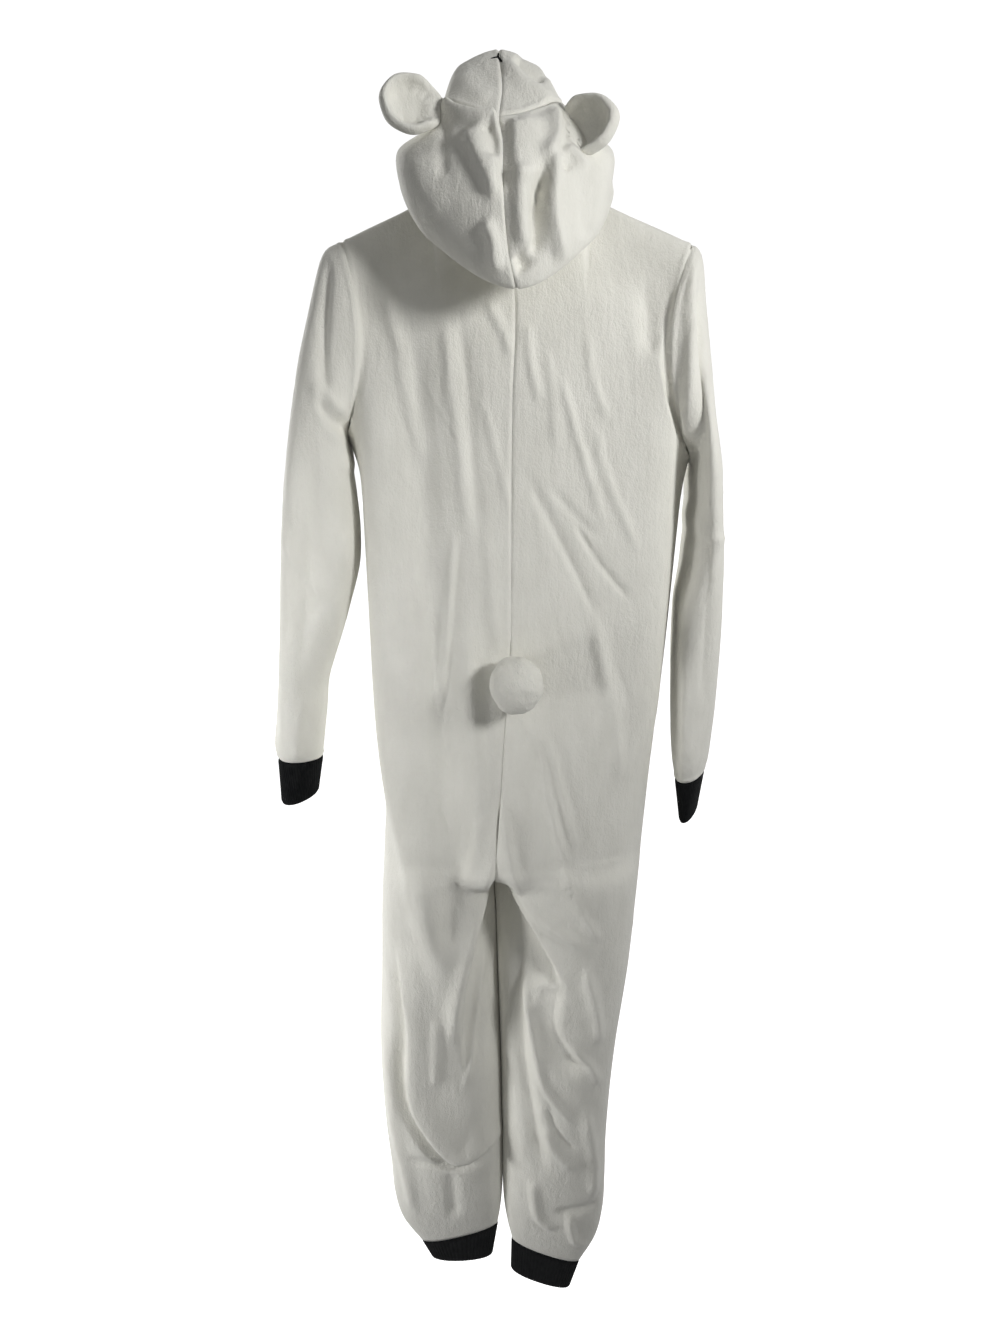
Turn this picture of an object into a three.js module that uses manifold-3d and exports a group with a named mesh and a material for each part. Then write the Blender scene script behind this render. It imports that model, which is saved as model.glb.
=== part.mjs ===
// A white fleece bear onesie hanging on its hanger, with its back towards -Y.
// Millimetres. +Z is up and +X is the wearer's right.
// The origin is the inside of the hanger's hook, where it rests on whatever holds it up.

import * as THREE from 'three';
import { mergeVertices } from 'three/addons/utils/BufferGeometryUtils.js';
import Module from 'manifold-3d';

const wasm = await Module();
wasm.setup();

// Driving sizes.
const FLEECE = 2.0; // thickness of the fleece
const RIB_KNIT = 2.0; // thickness of the knitted cuffs
const SEAM_GAP = 0.3; // clear space between two pieces sewn together
const BODY_ROUNDING = 2.3; // 2 is an ellipse, more is squarer
const LEFT = -1;
const RIGHT = 1;
const BACK = -1;
const FRONT = 1;

// The neckline is an oval round the hanger's neck.
const NECK = { x: 12, side: 92, back: 42, front: 50, sideZ: -133, backZ: -163, frontZ: -190, rise: 2.2 };
const NECK_STEP = 30; // degrees between the points of the neckline

// Where the shoulder seam passes over the hanger the cloth is this far from the middle.
const OVER_BAR = 8.5;

// Parts of the way down the armhole where the cloth has left the bar, where it has its full
// depth, and where it has the body's own roundness.
const UPPER = { offBar: 0.02, deep: 0.77, rounded: 0.4 };

// Folds fade out towards the seams. This is how fast, from the roundness of the row.
const FOLD_FADE = 2.2;

// Heights of the chest, crotch and zip.
const CHEST_Z = -400;
const CROTCH_Z = -968;
const FORK_START_Z = -922; // the legs begin to part above the crotch
const LEG_LENGTH = { left: 577, right: 607 };
const TABLE_LEG = 592; // the leg length for which the tables of rows are written
const ZIP_TOP = -194;
const ZIP_END = -800;
const ZIP_HALF = 3.5; // half the width left for the zip's chain

// Turns a list of column names and rows of numbers into rows with named values.
function table(columns, rows) {
  return rows.map((row) => Object.fromEntries(columns.map((name, i) => [name, row[i]])));
}

// The body's outline seen from behind and its depth, from the armpits to the ankles.
const BODY = table(['z', 'left', 'right', 'back', 'front'], [
  [-385, -181, 226, 64, 60],
  [-420, -170, 222, 68, 62],
  [-450, -165, 218, 70, 64],
  [-520, -162, 214, 74, 70],
  [-670, -159, 205, 78, 76],
  [-750, -155, 198, 81, 80],
  [-840, -149, 192, 86, 82],
  [-920, -153, 187, 88, 80],
  [-1010, -159, 182, 80, 74],
  [-1100, -162, 176, 72, 68],
  [-1230, -168, 162, 62, 60],
  [-1365, -165, 154, 54, 54],
  [-1450, -158, 154, 43, 43],
  [-1515, -150, 148, 30, 30],
  [-1560, -118, 121, 15, 15],
]);

// The seam down the middle of the back and front, then the two inner edges of the legs.
const MIDDLE = table(['z', 'left', 'right'], [
  [-150, 12, 12],
  [-180, 12, 12],
  [-234, 20, 20],
  [-350, 14, 14],
  [-637, 12, 12],
  [-725, 6, 6],
  [-830, 0, 0],
  [-968, -8, -8],
  [-1010, -6.5, -5.5],
  [-1230, -0.1, 1.1],
  [-1365, 2.4, 3.6],
  [-1450, 3.2, 4.6],
  [-1505, 3, 7.6],
  [-1560, -3, 18],
]);

// How far the side of a row lies above the row's middle.
const TILT = table(['z', 'left', 'right'], [
  [-400, 8, -18],
  [-450, 4, -8],
  [-520, 0, 0],
  [-1380, 0, 0],
  [-1500, -16, -20],
  [-1560, -34, -42],
]);

// Parts of the way down the armhole where rows start, and the middles of the rows below.
const ARMHOLE_ROWS = [0, 0.02, 0.07, 0.16, 0.28, 0.42, 0.56, 0.7, 0.82, 0.92, 1];
const LOWER_ROWS = [-445, -500, -565, -635, -700, -760, -800, -830, -865, -905, -932, -950, -968,
  -988, -1016, -1055, -1100, -1150, -1205, -1265, -1325, -1385, -1440, -1485, -1525, -1560];
const SHOULDER_COLUMNS = [0.2, 0.4, 0.6, 0.8, 1]; // from the neck to the armhole

// A sleeve's rings from the armhole to the wrist. The first point is its inner side, the second
// its outer side, and depth is half its size across, turned by twist degrees.
const SLEEVE_COLUMNS = ['at', 'inX', 'inY', 'inZ', 'outX', 'outY', 'outZ', 'depth', 'twist', 'bow'];
const SLEEVE = {
  left: table(SLEEVE_COLUMNS, [
    [0, -180, 0, -392, -178, 0, -178, 50, 0, 22],
    [1, -180.6, 0, -396, -198, 0, -189, 52, 0, 16],
    [2, -181, 0, -400, -210, 0, -220, 54, 0, 10],
    [3, -180, 0, -408, -222, -2, -280, 56, 0, 3],
    [4, -177, 0, -425, -234, -4, -338, 56, 4, 0],
    [5, -173, 0, -455, -247, -6, -396, 56, 6, 0],
    [6, -170, 1, -500, -258, -8, -456, 56, 6, 0],
    [7, -173, 2, -548, -266, -8, -525, 55, 6, 0],
    [8, -190, 2, -605, -270, -8, -596, 54, 6, 0],
    [9, -214, 2, -670, -276, -8, -670, 52, 6, 0],
    [10, -221, 3, -728, -283, -9, -728, 48, 8, 0],
    [11, -228, 5, -776, -289, -12, -776, 40, 12, 0],
    [12, -232, 8, -797, -285, -14, -797, 28, 20, 0],
  ]),
  right: table(SLEEVE_COLUMNS, [
    [0, 225, 0, -418, 217, 0, -181, 55, 0, 33],
    [1, 225.6, 0, -421, 228, 0, -194, 60, 0, 26],
    [2, 226, 0, -424, 235, 0, -240, 68, 0, 16],
    [3, 226.5, 0, -428, 240, 0, -300, 75, 0, 6],
    [4, 227, 0, -436, 243, 0, -360, 79, 0, 0],
    [5, 228, 0, -452, 251, 0, -415, 80, 0, 0],
    [6, 228, 0, -492, 257, 0, -478, 80, 0, 0],
    [7, 225, 0, -542, 263, 0, -540, 78, 0, 0],
    [8, 220, 0, -606, 268, 0, -606, 74, -2, 0],
    [9, 218, 0, -672, 270, 0, -672, 68, -5, 0],
    [10, 219, 2, -738, 270, -2, -738, 60, -10, 0],
    [11, 224, 3, -790, 270, -4, -790, 52, -15, 0],
    [12, 231, 5, -824, 265, -5, -818, 42, -18, 0],
  ]),
};
const SLEEVE_ROWS = [0, 0.5, 1, 1.6, 2.2, 3, 4, 5, 6, 7, 8, 9, 10, 11, 11.5, 12];

// The ends of the cuffs, written as a sleeve's ring is.
const CUFF_END = {
  wrist_cuff_left: { inX: -243, inY: 12, inZ: -846, outX: -281, outY: -20, outZ: -858, depth: 20, twist: 38 },
  wrist_cuff_right: { inX: 240, inY: 3, inZ: -880, outX: 258, outY: -3, outZ: -876, depth: 38, twist: -19 },
  ankle_cuff_left: { inX: -12, inY: 0, inZ: -1607, outX: -102, outY: 0, outZ: -1613, depth: 13, twist: 0 },
  ankle_cuff_right: { inX: 17, inY: 2, inZ: -1637, outX: 106, outY: -2, outZ: -1668, depth: 13, twist: 0 },
};
const WRIST_RIBS = 26;
const ANKLE_RIBS = 34;
const RIB_HEIGHT = 0.8;

// The hood's lines, from 0 in the middle of its back, past the side of the neck, 2, to 4 at the
// edge round the face. x is measured from the row's axis, and the rows go from the neck seam
// over the back to the forehead.
const HOOD_LINES = [0, 1 / 3, 0.5, 0.72, 1];
const HOOD = table(
  ['at', 'axis', 'x0', 'y0', 'z0', 'x1', 'y1', 'z1', 'x2', 'y2', 'z2', 'x3', 'y3', 'z3', 'x4', 'y4', 'z4'],
  [
    [1, 12, 0, -53, -153, 84, -31, -131, 94, 1, -124, 82, 36, -142, 14, 57, -180],
    [2, 14, 0, -96, -206, 94, -60, -156, 106, -14, -121, 94, 34, -132, 34, 63, -168],
    [3, 17, 0, -130, -239, 88, -84, -186, 114, -34, -136, 106, 28, -124, 50, 64, -152],
    [4, 13, 0, -144, -205, 99, -94, -155, 118, -34, -120, 108, 26, -112, 64, 62, -134],
    [5, 9, 0, -140, -150, 99, -92, -112, 115, -30, -90, 106, 28, -92, 74, 59, -104],
    [6, 6, 0, -118, -98, 68, -78, -76, 80, -24, -66, 80, 28, -66, 68, 55, -72],
    [7, 2, 0, -88, -64, 54, -58, -46, 64, -14, -40, 66, 26, -44, 62, 51, -48],
    [8, -1, 0, -22, 7, 40, -16, -4, 50, 4, -12, 56, 24, -20, 56, 50, -28],
    [9, -1, 0, 50, 3, 19, 50, 1, 29, 50, -2, 41, 50, -8, 52, 49, -16],
  ],
);
// The hood has slipped to the left: the share of its width that each half has.
const HOOD_SHARE = table(['at', 'left', 'right'], [
  [1, 1, 1], [2, 1.02, 0.97], [3, 1.05, 0.93], [4, 1.035, 0.92], [5, 1.03, 0.97], [6, 1, 1], [9, 1, 1],
]);
const HOOD_NECK_ROWS = [0, 0.5, 1, 1.5, 2, 2.5, 2.8, 3.1, 3.5, 4, 4.5, 5, 5.5, 6, 6.5, 6.85];
const HOOD_CROWN_ROWS = [6.85, 7.2, 7.6, 8, 8.4, 8.7, 9];
// Degrees of the neckline at the hood's columns, closer together where its back is folded.
const HOOD_STEPS = { close: 5, until: 60, wide: 10 };
// Rows between which the hood's outside carries folds, and how many rows they fade in.
const HOOD_FOLD_ROWS = { from: 2.9, fadeIn: 0.4, until: 7, fadeOut: 0.5 };

// The largest folds, each along a line seen from behind: high is how far it stands out, and a
// negative one is a trough.
const FOLDS = table(['piece', 'x1', 'z1', 'x2', 'z2', 'wide', 'high'], [
  ['back_left', -110, -440, -135, -880, 16, 6],
  ['back_left', -46, -480, -66, -760, 16, 5],
  ['back_left', -15, -720, -60, -900, 14, -6],
  ['back_left', -85, -900, -60, -1080, 20, 9],
  ['back_left', -150, -1120, -96, -1400, 18, 8],
  ['back_left', -120, -1180, -40, -1450, 16, -8],
  ['back_left', -130, -230, -90, -420, 14, 5],
  ['back_right', 60, -350, 170, -580, 14, -5],
  ['back_right', 110, -420, 150, -800, 16, 6],
  ['back_right', 40, -700, 88, -900, 14, 6],
  ['back_right', 95, -1010, 60, -1290, 16, 9],
  ['back_right', 130, -1110, 136, -1330, 14, -7],
  ['back_right', 75, -1240, 110, -1460, 15, 7],
  ['back_right', 150, -260, 165, -420, 12, 5],
  ['front_left', -60, -420, -90, -820, 18, 6],
  ['front_left', -110, -1000, -80, -1380, 18, 8],
  ['front_right', 80, -420, 120, -820, 18, 6],
  ['front_right', 100, -1020, 90, -1400, 18, 8],
]);

// The folds at the fork: inside this line the cloth of a leg is set back.
const FORK_STEPS = table(['piece', 'x1', 'z1', 'x2', 'z2', 'soft', 'deep'], [
  ['back_left', -14, -950, -84, -1195, 5, 17],
  ['back_right', 4, -950, 88, -1085, 6, 17],
]);

const HOOD_FOLDS = table(['piece', 'x1', 'z1', 'x2', 'z2', 'wide', 'high'], [
  ['hood_back_left', -66, -60, -4, -80, 8, 9],
  ['hood_back_left', -38, -95, -4, -150, 9, 9],
  ['hood_back_left', -22, -96, -8, -118, 6, -9],
  ['hood_back_left', -26, -150, 2, -215, 9, 5],
  ['hood_back_right', 24, -84, 12, -150, 13, 10],
  ['hood_back_right', 52, -108, 32, -145, 9, 7],
  ['hood_back_right', 12, -150, 24, -205, 8, 9],
  ['hood_back_right', 37, -150, 36, -210, 7, -11],
  ['hood_back_right', 54, -120, 60, -215, 8, 8],
  ['hood_back_right', 78, -110, 86, -134, 10, 6],
]);

// The ears: a round disc whose rim is a thick roll and whose hollow faces back and inwards.
const EARS = {
  left: { x: -90, y: -80, z: -58, wide: 34, tall: 30, turn: 14, lean: -16 },
  right: { x: 90, y: -88, z: -80, wide: 34, tall: 31, turn: -34, lean: -14 },
};
const EAR_SECTION = table(['out', 'high'], [
  [0.3, 0.5], [0.58, 1.5], [0.72, 5], [0.84, 7.5], [0.95, 6], [1, 1.5], [0.96, -3], [0.8, -5.5], [0.4, -6.5],
]);
const EAR_SIDES = 24;
const EAR_CUT = { clear: 0.35, deep: 4, rows: [4.5, 5, 5.5, 6, 6.5, 6.85, 7.2, 7.6, 8] };

// The tail is a stuffed ball sewn flat on to the seam.
const TAIL = { x: 18.7, z: -670, wide: 31, tall: 34, flatY: -79.2, sunk: 3, rings: 12, sides: 20 };

// The zip's tape, chain, slider and pull tab.
const TAPE = { width: 12, thick: 0.8 };
const CHAIN = { half: 3.2, proud: 0.5, deep: 2.0 };
const SLIDER = { z: -214, wide: 8.4, tall: 11, thick: 2, lug: 1.3, lugGap: 3.2, pinRadius: 0.7, pinOut: 2.8 };
const PULL = { eye: 2.1, hole: 1.1, width: 2.4, plate: 7, thick: 1.5, length: 22, start: 3.4, sides: 16 };
const LUG = { past: 1.6, sunk: 0.2, tall: 3.4 };
const TAPE_BEHIND = 0.5; // clear of the panel's inside

// The hanger: one moulding, with two arms and a fixed hook.
const HANGER = { x: 14, reach: 186, rise: -114, thick: 5, tall: 6.5, sides: 12, under: 11.2, stem: 2.2 };
const HOOK = { radius: 18, sides: 12 };

const COLOURS = {
  fleece: { color: 0xe9e8e2, roughness: 0.95, metalness: 0 },
  rib: { color: 0x16181a, roughness: 0.9, metalness: 0 },
  tape: { color: 0xe4e3dd, roughness: 0.85, metalness: 0 },
  zip: { color: 0xdedfdd, roughness: 0.5, metalness: 0 },
  metal: { color: 0xb9babc, roughness: 0.35, metalness: 1 },
  hanger: { color: 0x1b1b1d, roughness: 0.45, metalness: 0 },
};

const SIDE_NAME = { [LEFT]: 'left', [RIGHT]: 'right' };
const FACE_NAME = { [BACK]: 'back', [FRONT]: 'front' };

// Small sums on points written as [x, y, z].
const plus = (a, b, times = 1) => a.map((value, i) => value + b[i] * times);
const minus = (a, b) => a.map((value, i) => value - b[i]);
const mix = (a, b, part) => a + (b - a) * part;
const mixPoint = (a, b, part) => a.map((value, i) => mix(value, b[i], part));
const size = (a) => Math.hypot(...a);
const unit = (a) => a.map((value) => value / (size(a) || 1));
const cross = (a, b) => [
  a[1] * b[2] - a[2] * b[1],
  a[2] * b[0] - a[0] * b[2],
  a[0] * b[1] - a[1] * b[0],
];
const dot = (a, b) => a[0] * b[0] + a[1] * b[1] + a[2] * b[2];
const clamp = (value, low = 0, high = 1) => Math.min(high, Math.max(low, value));
const radians = (degrees) => (degrees * Math.PI) / 180;

// Rises softly from 0 to 1.
function ease(value) {
  const part = clamp(value);
  return part * part * (3 - 2 * part);
}

// A smooth curve through pairs of a key and a value, with the slope at each pair taken from
// its two neighbours.
function smooth(keys, values, at) {
  const last = keys.length - 1;
  const sign = Math.sign(keys[last] - keys[0]);
  const place = sign * clamp(sign * at, sign * keys[0], sign * keys[last]);
  let i = 0;
  while (i < last - 1 && sign * place > sign * keys[i + 1]) i += 1;
  const slope = (j) => {
    const before = Math.max(0, j - 1);
    const after = Math.min(last, j + 1);
    return (values[after] - values[before]) / (keys[after] - keys[before]);
  };
  const span = keys[i + 1] - keys[i];
  const t = (place - keys[i]) / span;
  const t2 = t * t;
  const t3 = t2 * t;
  return values[i] * (2 * t3 - 3 * t2 + 1) + slope(i) * span * (t3 - 2 * t2 + t)
    + values[i + 1] * (3 * t2 - 2 * t3) + slope(i + 1) * span * (t3 - t2);
}

function read(rows, key, at, column) {
  return smooth(rows.map((row) => row[key]), rows.map((row) => row[column]), at);
}

// A direction laid into a plane, given by the plane's own direction.
const inPlane = (direction, plane) => unit(plus(direction, plane, -dot(direction, plane)));

// A number to a power that keeps its sign.
const signedPower = (value, power) => Math.sign(value) * Math.abs(value) ** power;

// The normals of a grid of points. The grid is turned so that they agree with a direction
// given at its middle.
function gridNormals(grid, closed, outward) {
  const rows = grid.length;
  const columns = grid[0].length;
  const normals = grid.map((row, r) => row.map((point, c) => {
    const left = closed ? (c + columns - 1) % columns : Math.max(0, c - 1);
    const right = closed ? (c + 1) % columns : Math.min(columns - 1, c + 1);
    const along = minus(grid[r][right], grid[r][left]);
    const down = minus(grid[Math.min(rows - 1, r + 1)][c], grid[Math.max(0, r - 1)][c]);
    return unit(cross(along, down));
  }));
  const middle = normals[rows >> 1][closed ? 0 : columns >> 1];
  const sign = dot(middle, outward) < 0 ? -1 : 1;
  return normals.map((row) => row.map((normal) => normal.map((value) => value * sign)));
}

// Moves a grid of points inwards. The function edge may change the direction at a point, so
// that two pieces meet on one plane.
function moveIn(grid, distance, { closed = false, outward, edge = (r, c, normal) => normal }) {
  const normals = gridNormals(grid, closed, outward);
  return grid.map((row, r) => row.map((point, c) => plus(point, edge(r, c, normals[r][c]), -distance)));
}

// A closed mesh from two grids of points and the rims that join them.
function wallMesh(outer, inner, closed = false) {
  const rows = outer.length;
  const columns = outer[0].length;
  const positions = [...outer.flat(2), ...inner.flat(2)];
  const index = [];
  const at = (layer, r, c) => (layer * rows + r) * columns + (closed ? c % columns : c);
  const quad = (a, b, c, d) => index.push(a, b, c, a, c, d);
  const lastColumn = closed ? columns : columns - 1;
  for (let r = 0; r < rows - 1; r += 1) {
    for (let c = 0; c < lastColumn; c += 1) {
      quad(at(0, r, c), at(0, r + 1, c), at(0, r + 1, c + 1), at(0, r, c + 1));
      quad(at(1, r, c), at(1, r, c + 1), at(1, r + 1, c + 1), at(1, r + 1, c));
    }
  }
  for (let c = 0; c < lastColumn; c += 1) {
    quad(at(0, 0, c), at(0, 0, c + 1), at(1, 0, c + 1), at(1, 0, c));
    quad(at(0, rows - 1, c), at(1, rows - 1, c), at(1, rows - 1, c + 1), at(0, rows - 1, c + 1));
  }
  if (!closed) {
    for (let r = 0; r < rows - 1; r += 1) {
      quad(at(0, r, 0), at(1, r, 0), at(1, r + 1, 0), at(0, r + 1, 0));
      const c = columns - 1;
      quad(at(0, r, c), at(0, r + 1, c), at(1, r + 1, c), at(1, r, c));
    }
  }
  return facingOut(positions, index);
}

// A geometry whose faces point out.
function facingOut(positions, index) {
  let volume = 0;
  const point = (i) => positions.slice(3 * index[i], 3 * index[i] + 3);
  for (let i = 0; i < index.length; i += 3) {
    volume += dot(point(i), cross(point(i + 1), point(i + 2)));
  }
  if (volume < 0) {
    for (let i = 0; i < index.length; i += 3) [index[i], index[i + 1]] = [index[i + 1], index[i]];
  }
  const geometry = new THREE.BufferGeometry();
  geometry.setAttribute('position', new THREE.Float32BufferAttribute(positions, 3));
  geometry.setIndex(index);
  return geometry;
}

// A solid lofted through closed rings of points, with a flat cap at each end.
function loft(rings) {
  const count = rings[0].length;
  const positions = rings.flat(2);
  const index = [];
  for (let r = 0; r < rings.length - 1; r += 1) {
    for (let c = 0; c < count; c += 1) {
      const next = (c + 1) % count;
      const [a, b] = [r * count + c, (r + 1) * count + c];
      const [d, e] = [r * count + next, (r + 1) * count + next];
      index.push(a, b, e, a, e, d);
    }
  }
  for (const [ring, order] of [[0, 1], [rings.length - 1, -1]]) {
    const middle = positions.length / 3;
    const sum = rings[ring].reduce((total, point) => plus(total, point), [0, 0, 0]);
    positions.push(...sum.map((value) => value / count));
    for (let c = 0; c < count; c += 1) {
      const [a, b] = [ring * count + c, ring * count + ((c + 1) % count)];
      index.push(middle, order > 0 ? a : b, order > 0 ? b : a);
    }
  }
  return facingOut(positions, index);
}

function manifoldOf(geometry) {
  const bare = geometry.clone();
  bare.deleteAttribute('normal');
  bare.deleteAttribute('uv');
  const merged = mergeVertices(bare, 1e-4);
  return new wasm.Manifold(new wasm.Mesh({
    numProp: 3,
    vertProperties: new Float32Array(merged.attributes.position.array),
    triVerts: new Uint32Array(merged.index.array),
  }));
}

function geometryOf(solid) {
  const mesh = solid.getMesh();
  const geometry = new THREE.BufferGeometry();
  geometry.setAttribute('position', new THREE.BufferAttribute(mesh.vertProperties, 3));
  geometry.setIndex(new THREE.BufferAttribute(mesh.triVerts, 1));
  return geometry;
}

const onesie = new THREE.Group();

function add(name, geometry, colour) {
  const mesh = new THREE.Mesh(geometry, new THREE.MeshStandardMaterial(COLOURS[colour]));
  mesh.name = name;
  onesie.add(mesh);
  return mesh;
}

// Folds.

// How far folds push a piece's surface out at a place seen from behind.
function foldHeight(folds, piece, x, z) {
  let height = 0;
  for (const fold of folds) {
    if (fold.piece !== piece) continue;
    const [dx, dz] = [fold.x2 - fold.x1, fold.z2 - fold.z1];
    const length = Math.hypot(dx, dz);
    const along = ((x - fold.x1) * dx + (z - fold.z1) * dz) / length;
    const aside = ((x - fold.x1) * dz - (z - fold.z1) * dx) / length;
    const ends = ease(along / (0.25 * length) + 0.5) * ease((length - along) / (0.25 * length) + 0.5);
    height += fold.high * Math.exp(-((aside / fold.wide) ** 2)) * ends;
  }
  return height;
}

// How far the cloth inside the fork's folds is set back.
function forkDepth(piece, half, x, z) {
  const step = FORK_STEPS.find((row) => row.piece === piece);
  if (!step) return 0;
  const [dx, dz] = [step.x2 - step.x1, step.z2 - step.z1];
  const length = Math.hypot(dx, dz);
  const along = ((x - step.x1) * dx + (z - step.z1) * dz) / length;
  const inside = (half * ((z - step.z1) * dx - (x - step.x1) * dz)) / length;
  const ends = ease(along / 40 + 0.3) * ease((length * 1.25 - along) / (0.5 * length));
  return step.deep * ease(inside / (2 * step.soft) + 0.5) * ends;
}

// The neckline. Its points are joined by straight lines, which the collar of the hood follows.
function neckCorner(degrees, inset) {
  const angle = radians(degrees);
  const [across, back] = [Math.sin(angle), Math.cos(angle)];
  const low = back > 0 ? NECK.backZ : NECK.frontZ;
  const deep = back > 0 ? NECK.back : NECK.front;
  return [
    across * (NECK.side - inset),
    -back * (deep - inset),
    mix(low, NECK.sideZ, across ** NECK.rise),
  ];
}

// A point of the neckline, from 0 degrees at the back to 180 at the front.
function neckPoint(half, degrees, inset = 0) {
  const first = Math.min(Math.floor(degrees / NECK_STEP), 180 / NECK_STEP - 1) * NECK_STEP;
  const a = neckCorner(first, inset);
  const b = neckCorner(first + NECK_STEP, inset);
  const [x, y, z] = mixPoint(a, b, (degrees - first) / NECK_STEP);
  return [NECK.x + half * x, y, z];
}

// Sleeves.

// A point of a ring at an angle from its outer side, through its back, to its inner side.
function ringPoint(ring, degrees) {
  const angle = radians(degrees);
  const outer = [ring.outX, ring.outY, ring.outZ];
  const inner = [ring.inX, ring.inY, ring.inZ];
  const middle = mixPoint(outer, inner, 0.5);
  const reach = minus(outer, middle);
  const twist = radians(ring.twist);
  const back = [Math.sin(twist) * ring.depth, -Math.cos(twist) * ring.depth, 0];
  const power = 2 / 2.15;
  const point = plus(middle, reach, signedPower(Math.cos(angle), power));
  return plus(point, back, signedPower(Math.sin(angle), power));
}

function sleeveRing(half, at) {
  const rows = SLEEVE[SIDE_NAME[half]];
  const ring = {};
  for (const column of SLEEVE_COLUMNS) ring[column] = read(rows, 'at', at, column);
  return ring;
}

function sleevePoint(half, at, degrees) {
  const ring = sleeveRing(half, at);
  const point = ringPoint(ring, degrees);
  point[0] -= half * ring.bow * Math.sin(radians(degrees)) ** 2;
  return point;
}

// The armhole's angle where a row of the body starts.
const armholeAngle = (part) => (Math.acos(1 - 2 * part) * 180) / Math.PI;

// Body.

// The columns of a body piece as parts of its width at the top: the neckline's points first,
// then the shoulder's.
function bodyColumns(half) {
  const tip = sleevePoint(half, 0, 0)[0];
  const neckPart = NECK.side / Math.abs(tip - NECK.x);
  const columns = [];
  for (let degrees = 0; degrees <= 90; degrees += NECK_STEP) {
    columns.push({ degrees, part: neckPart * Math.sin(radians(degrees)) });
  }
  const first = Math.asin(neckPart ** (BODY_ROUNDING / 2)) / (Math.PI / 2);
  for (const place of SHOULDER_COLUMNS) {
    const turn = mix(first, 1, place);
    columns.push({ degrees: 90, part: Math.sin((turn * Math.PI) / 2) ** (2 / BODY_ROUNDING) });
  }
  return columns;
}

// The seam or inner edge of a half at a height, with half the gap to the piece beside it.
function middleX(half, face, z) {
  const seam = read(MIDDLE, 'z', z, SIDE_NAME[half]);
  if (z < CROTCH_Z) return seam;
  const zip = face === FRONT ? ease((z - ZIP_END + 15) / 15) : 0;
  return seam + half * mix(SEAM_GAP / 2, ZIP_HALF, zip);
}

// A point of the body above the armpit.
function upperPoint(half, face, part, column) {
  const angle = armholeAngle(part);
  const outer = sleevePoint(half, 0, face === BACK ? angle : 360 - angle);
  const neckLow = face === BACK ? NECK.backZ : NECK.frontZ;
  const middleZ = mix(neckLow, CHEST_Z, part);
  const middle = middleX(half, face, middleZ);
  const f = column.part;
  const neckPart = bodyColumns(half)[90 / NECK_STEP].part;
  const onNeck = f <= neckPart + 1e-9;
  const top = onNeck
    ? neckPoint(half, face === BACK ? column.degrees : 180 - column.degrees)
    : mixPoint(neckPoint(half, 90), sleevePoint(half, 0, 0), (f - neckPart) / (1 - neckPart));
  if (f === 0) top[0] = NECK.x + middle - read(MIDDLE, 'z', middleZ, SIDE_NAME[half]);
  const straightX = mix(middle, sleevePoint(half, 0, 0)[0], f);
  const straightZ = mix(neckLow, sleevePoint(half, 0, 0)[2], f);
  const fade = (1 - part) ** 2;
  const x = mix(middle, outer[0], f) + (top[0] - straightX) * fade;
  const z = mix(middleZ, outer[2], f) + (top[2] - straightZ) * fade;

  const armY = Math.abs(outer[1]);
  const onShoulder = ease((f - neckPart / 2) / (neckPart / 2));
  const bar = OVER_BAR * ease(part / UPPER.offBar);
  const towardsArm = clamp((f - neckPart) / (1 - neckPart)) ** 2;
  const topY = Math.abs(top[1]) + onShoulder * mix(bar, armY, towardsArm);
  const deep = mix(face === BACK ? NECK.back : NECK.front, read(BODY, 'z', CHEST_Z, FACE_NAME[face]),
    ease(part / UPPER.deep));
  const round = (1 - f ** BODY_ROUNDING) ** (1 / BODY_ROUNDING);
  const folds = foldHeight(FOLDS, `${FACE_NAME[face]}_${SIDE_NAME[half]}`, x, z);
  const clearOfEdges = ease(round * FOLD_FADE) * ease(part * 2 - 0.4);
  const lowY = deep * round + armY * (1 - round) ** 2 + folds * clearOfEdges;
  const y = face * (mix(topY, lowY, ease(part / UPPER.rounded)) + (SEAM_GAP / 2) * ease(f * 9));
  return [x, y, z];
}

// A point of the body or leg below the armpit.
function lowerPoint(half, face, rowZ, column) {
  const side = SIDE_NAME[half];
  const stretch = LEG_LENGTH[side] / TABLE_LEG;
  const middleZ = rowZ > CROTCH_Z ? rowZ : CROTCH_Z + (rowZ - CROTCH_Z) * stretch;
  const inner = middleX(half, face, rowZ);
  const outer = read(BODY, 'z', rowZ, side);
  const open = ease((rowZ - FORK_START_Z) / (CROTCH_Z - FORK_START_Z));
  const start = (-open * Math.PI) / 2;
  const turn = Math.asin(column.part ** (BODY_ROUNDING / 2)) / (Math.PI / 2);
  const angle = mix(start, Math.PI / 2, turn);
  const power = 2 / BODY_ROUNDING;
  const startX = signedPower(Math.sin(start), power);
  const reach = (outer - inner) / (1 - startX);
  const x = outer - reach + reach * signedPower(Math.sin(angle), power);
  const part = (x - inner) / (outer - inner);
  const z = middleZ + part * read(TILT, 'z', rowZ, side);
  const deep = read(BODY, 'z', rowZ, FACE_NAME[face]);
  const round = Math.abs(Math.cos(angle)) ** power;
  const piece = `${FACE_NAME[face]}_${side}`;
  const folds = foldHeight(FOLDS, piece, x, z) - forkDepth(piece, half, x, z);
  const clearOfEdges = ease(round * FOLD_FADE);
  return [x, face * (SEAM_GAP / 2 + deep * round + folds * clearOfEdges), z];
}

function bodyGrid(half, face) {
  const columns = bodyColumns(half);
  const upper = ARMHOLE_ROWS.map((part) => columns.map((column) => upperPoint(half, face, part, column)));
  const lower = LOWER_ROWS.map((z) => columns.map((column) => lowerPoint(half, face, z, column)));
  return [...upper, ...lower];
}

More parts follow.
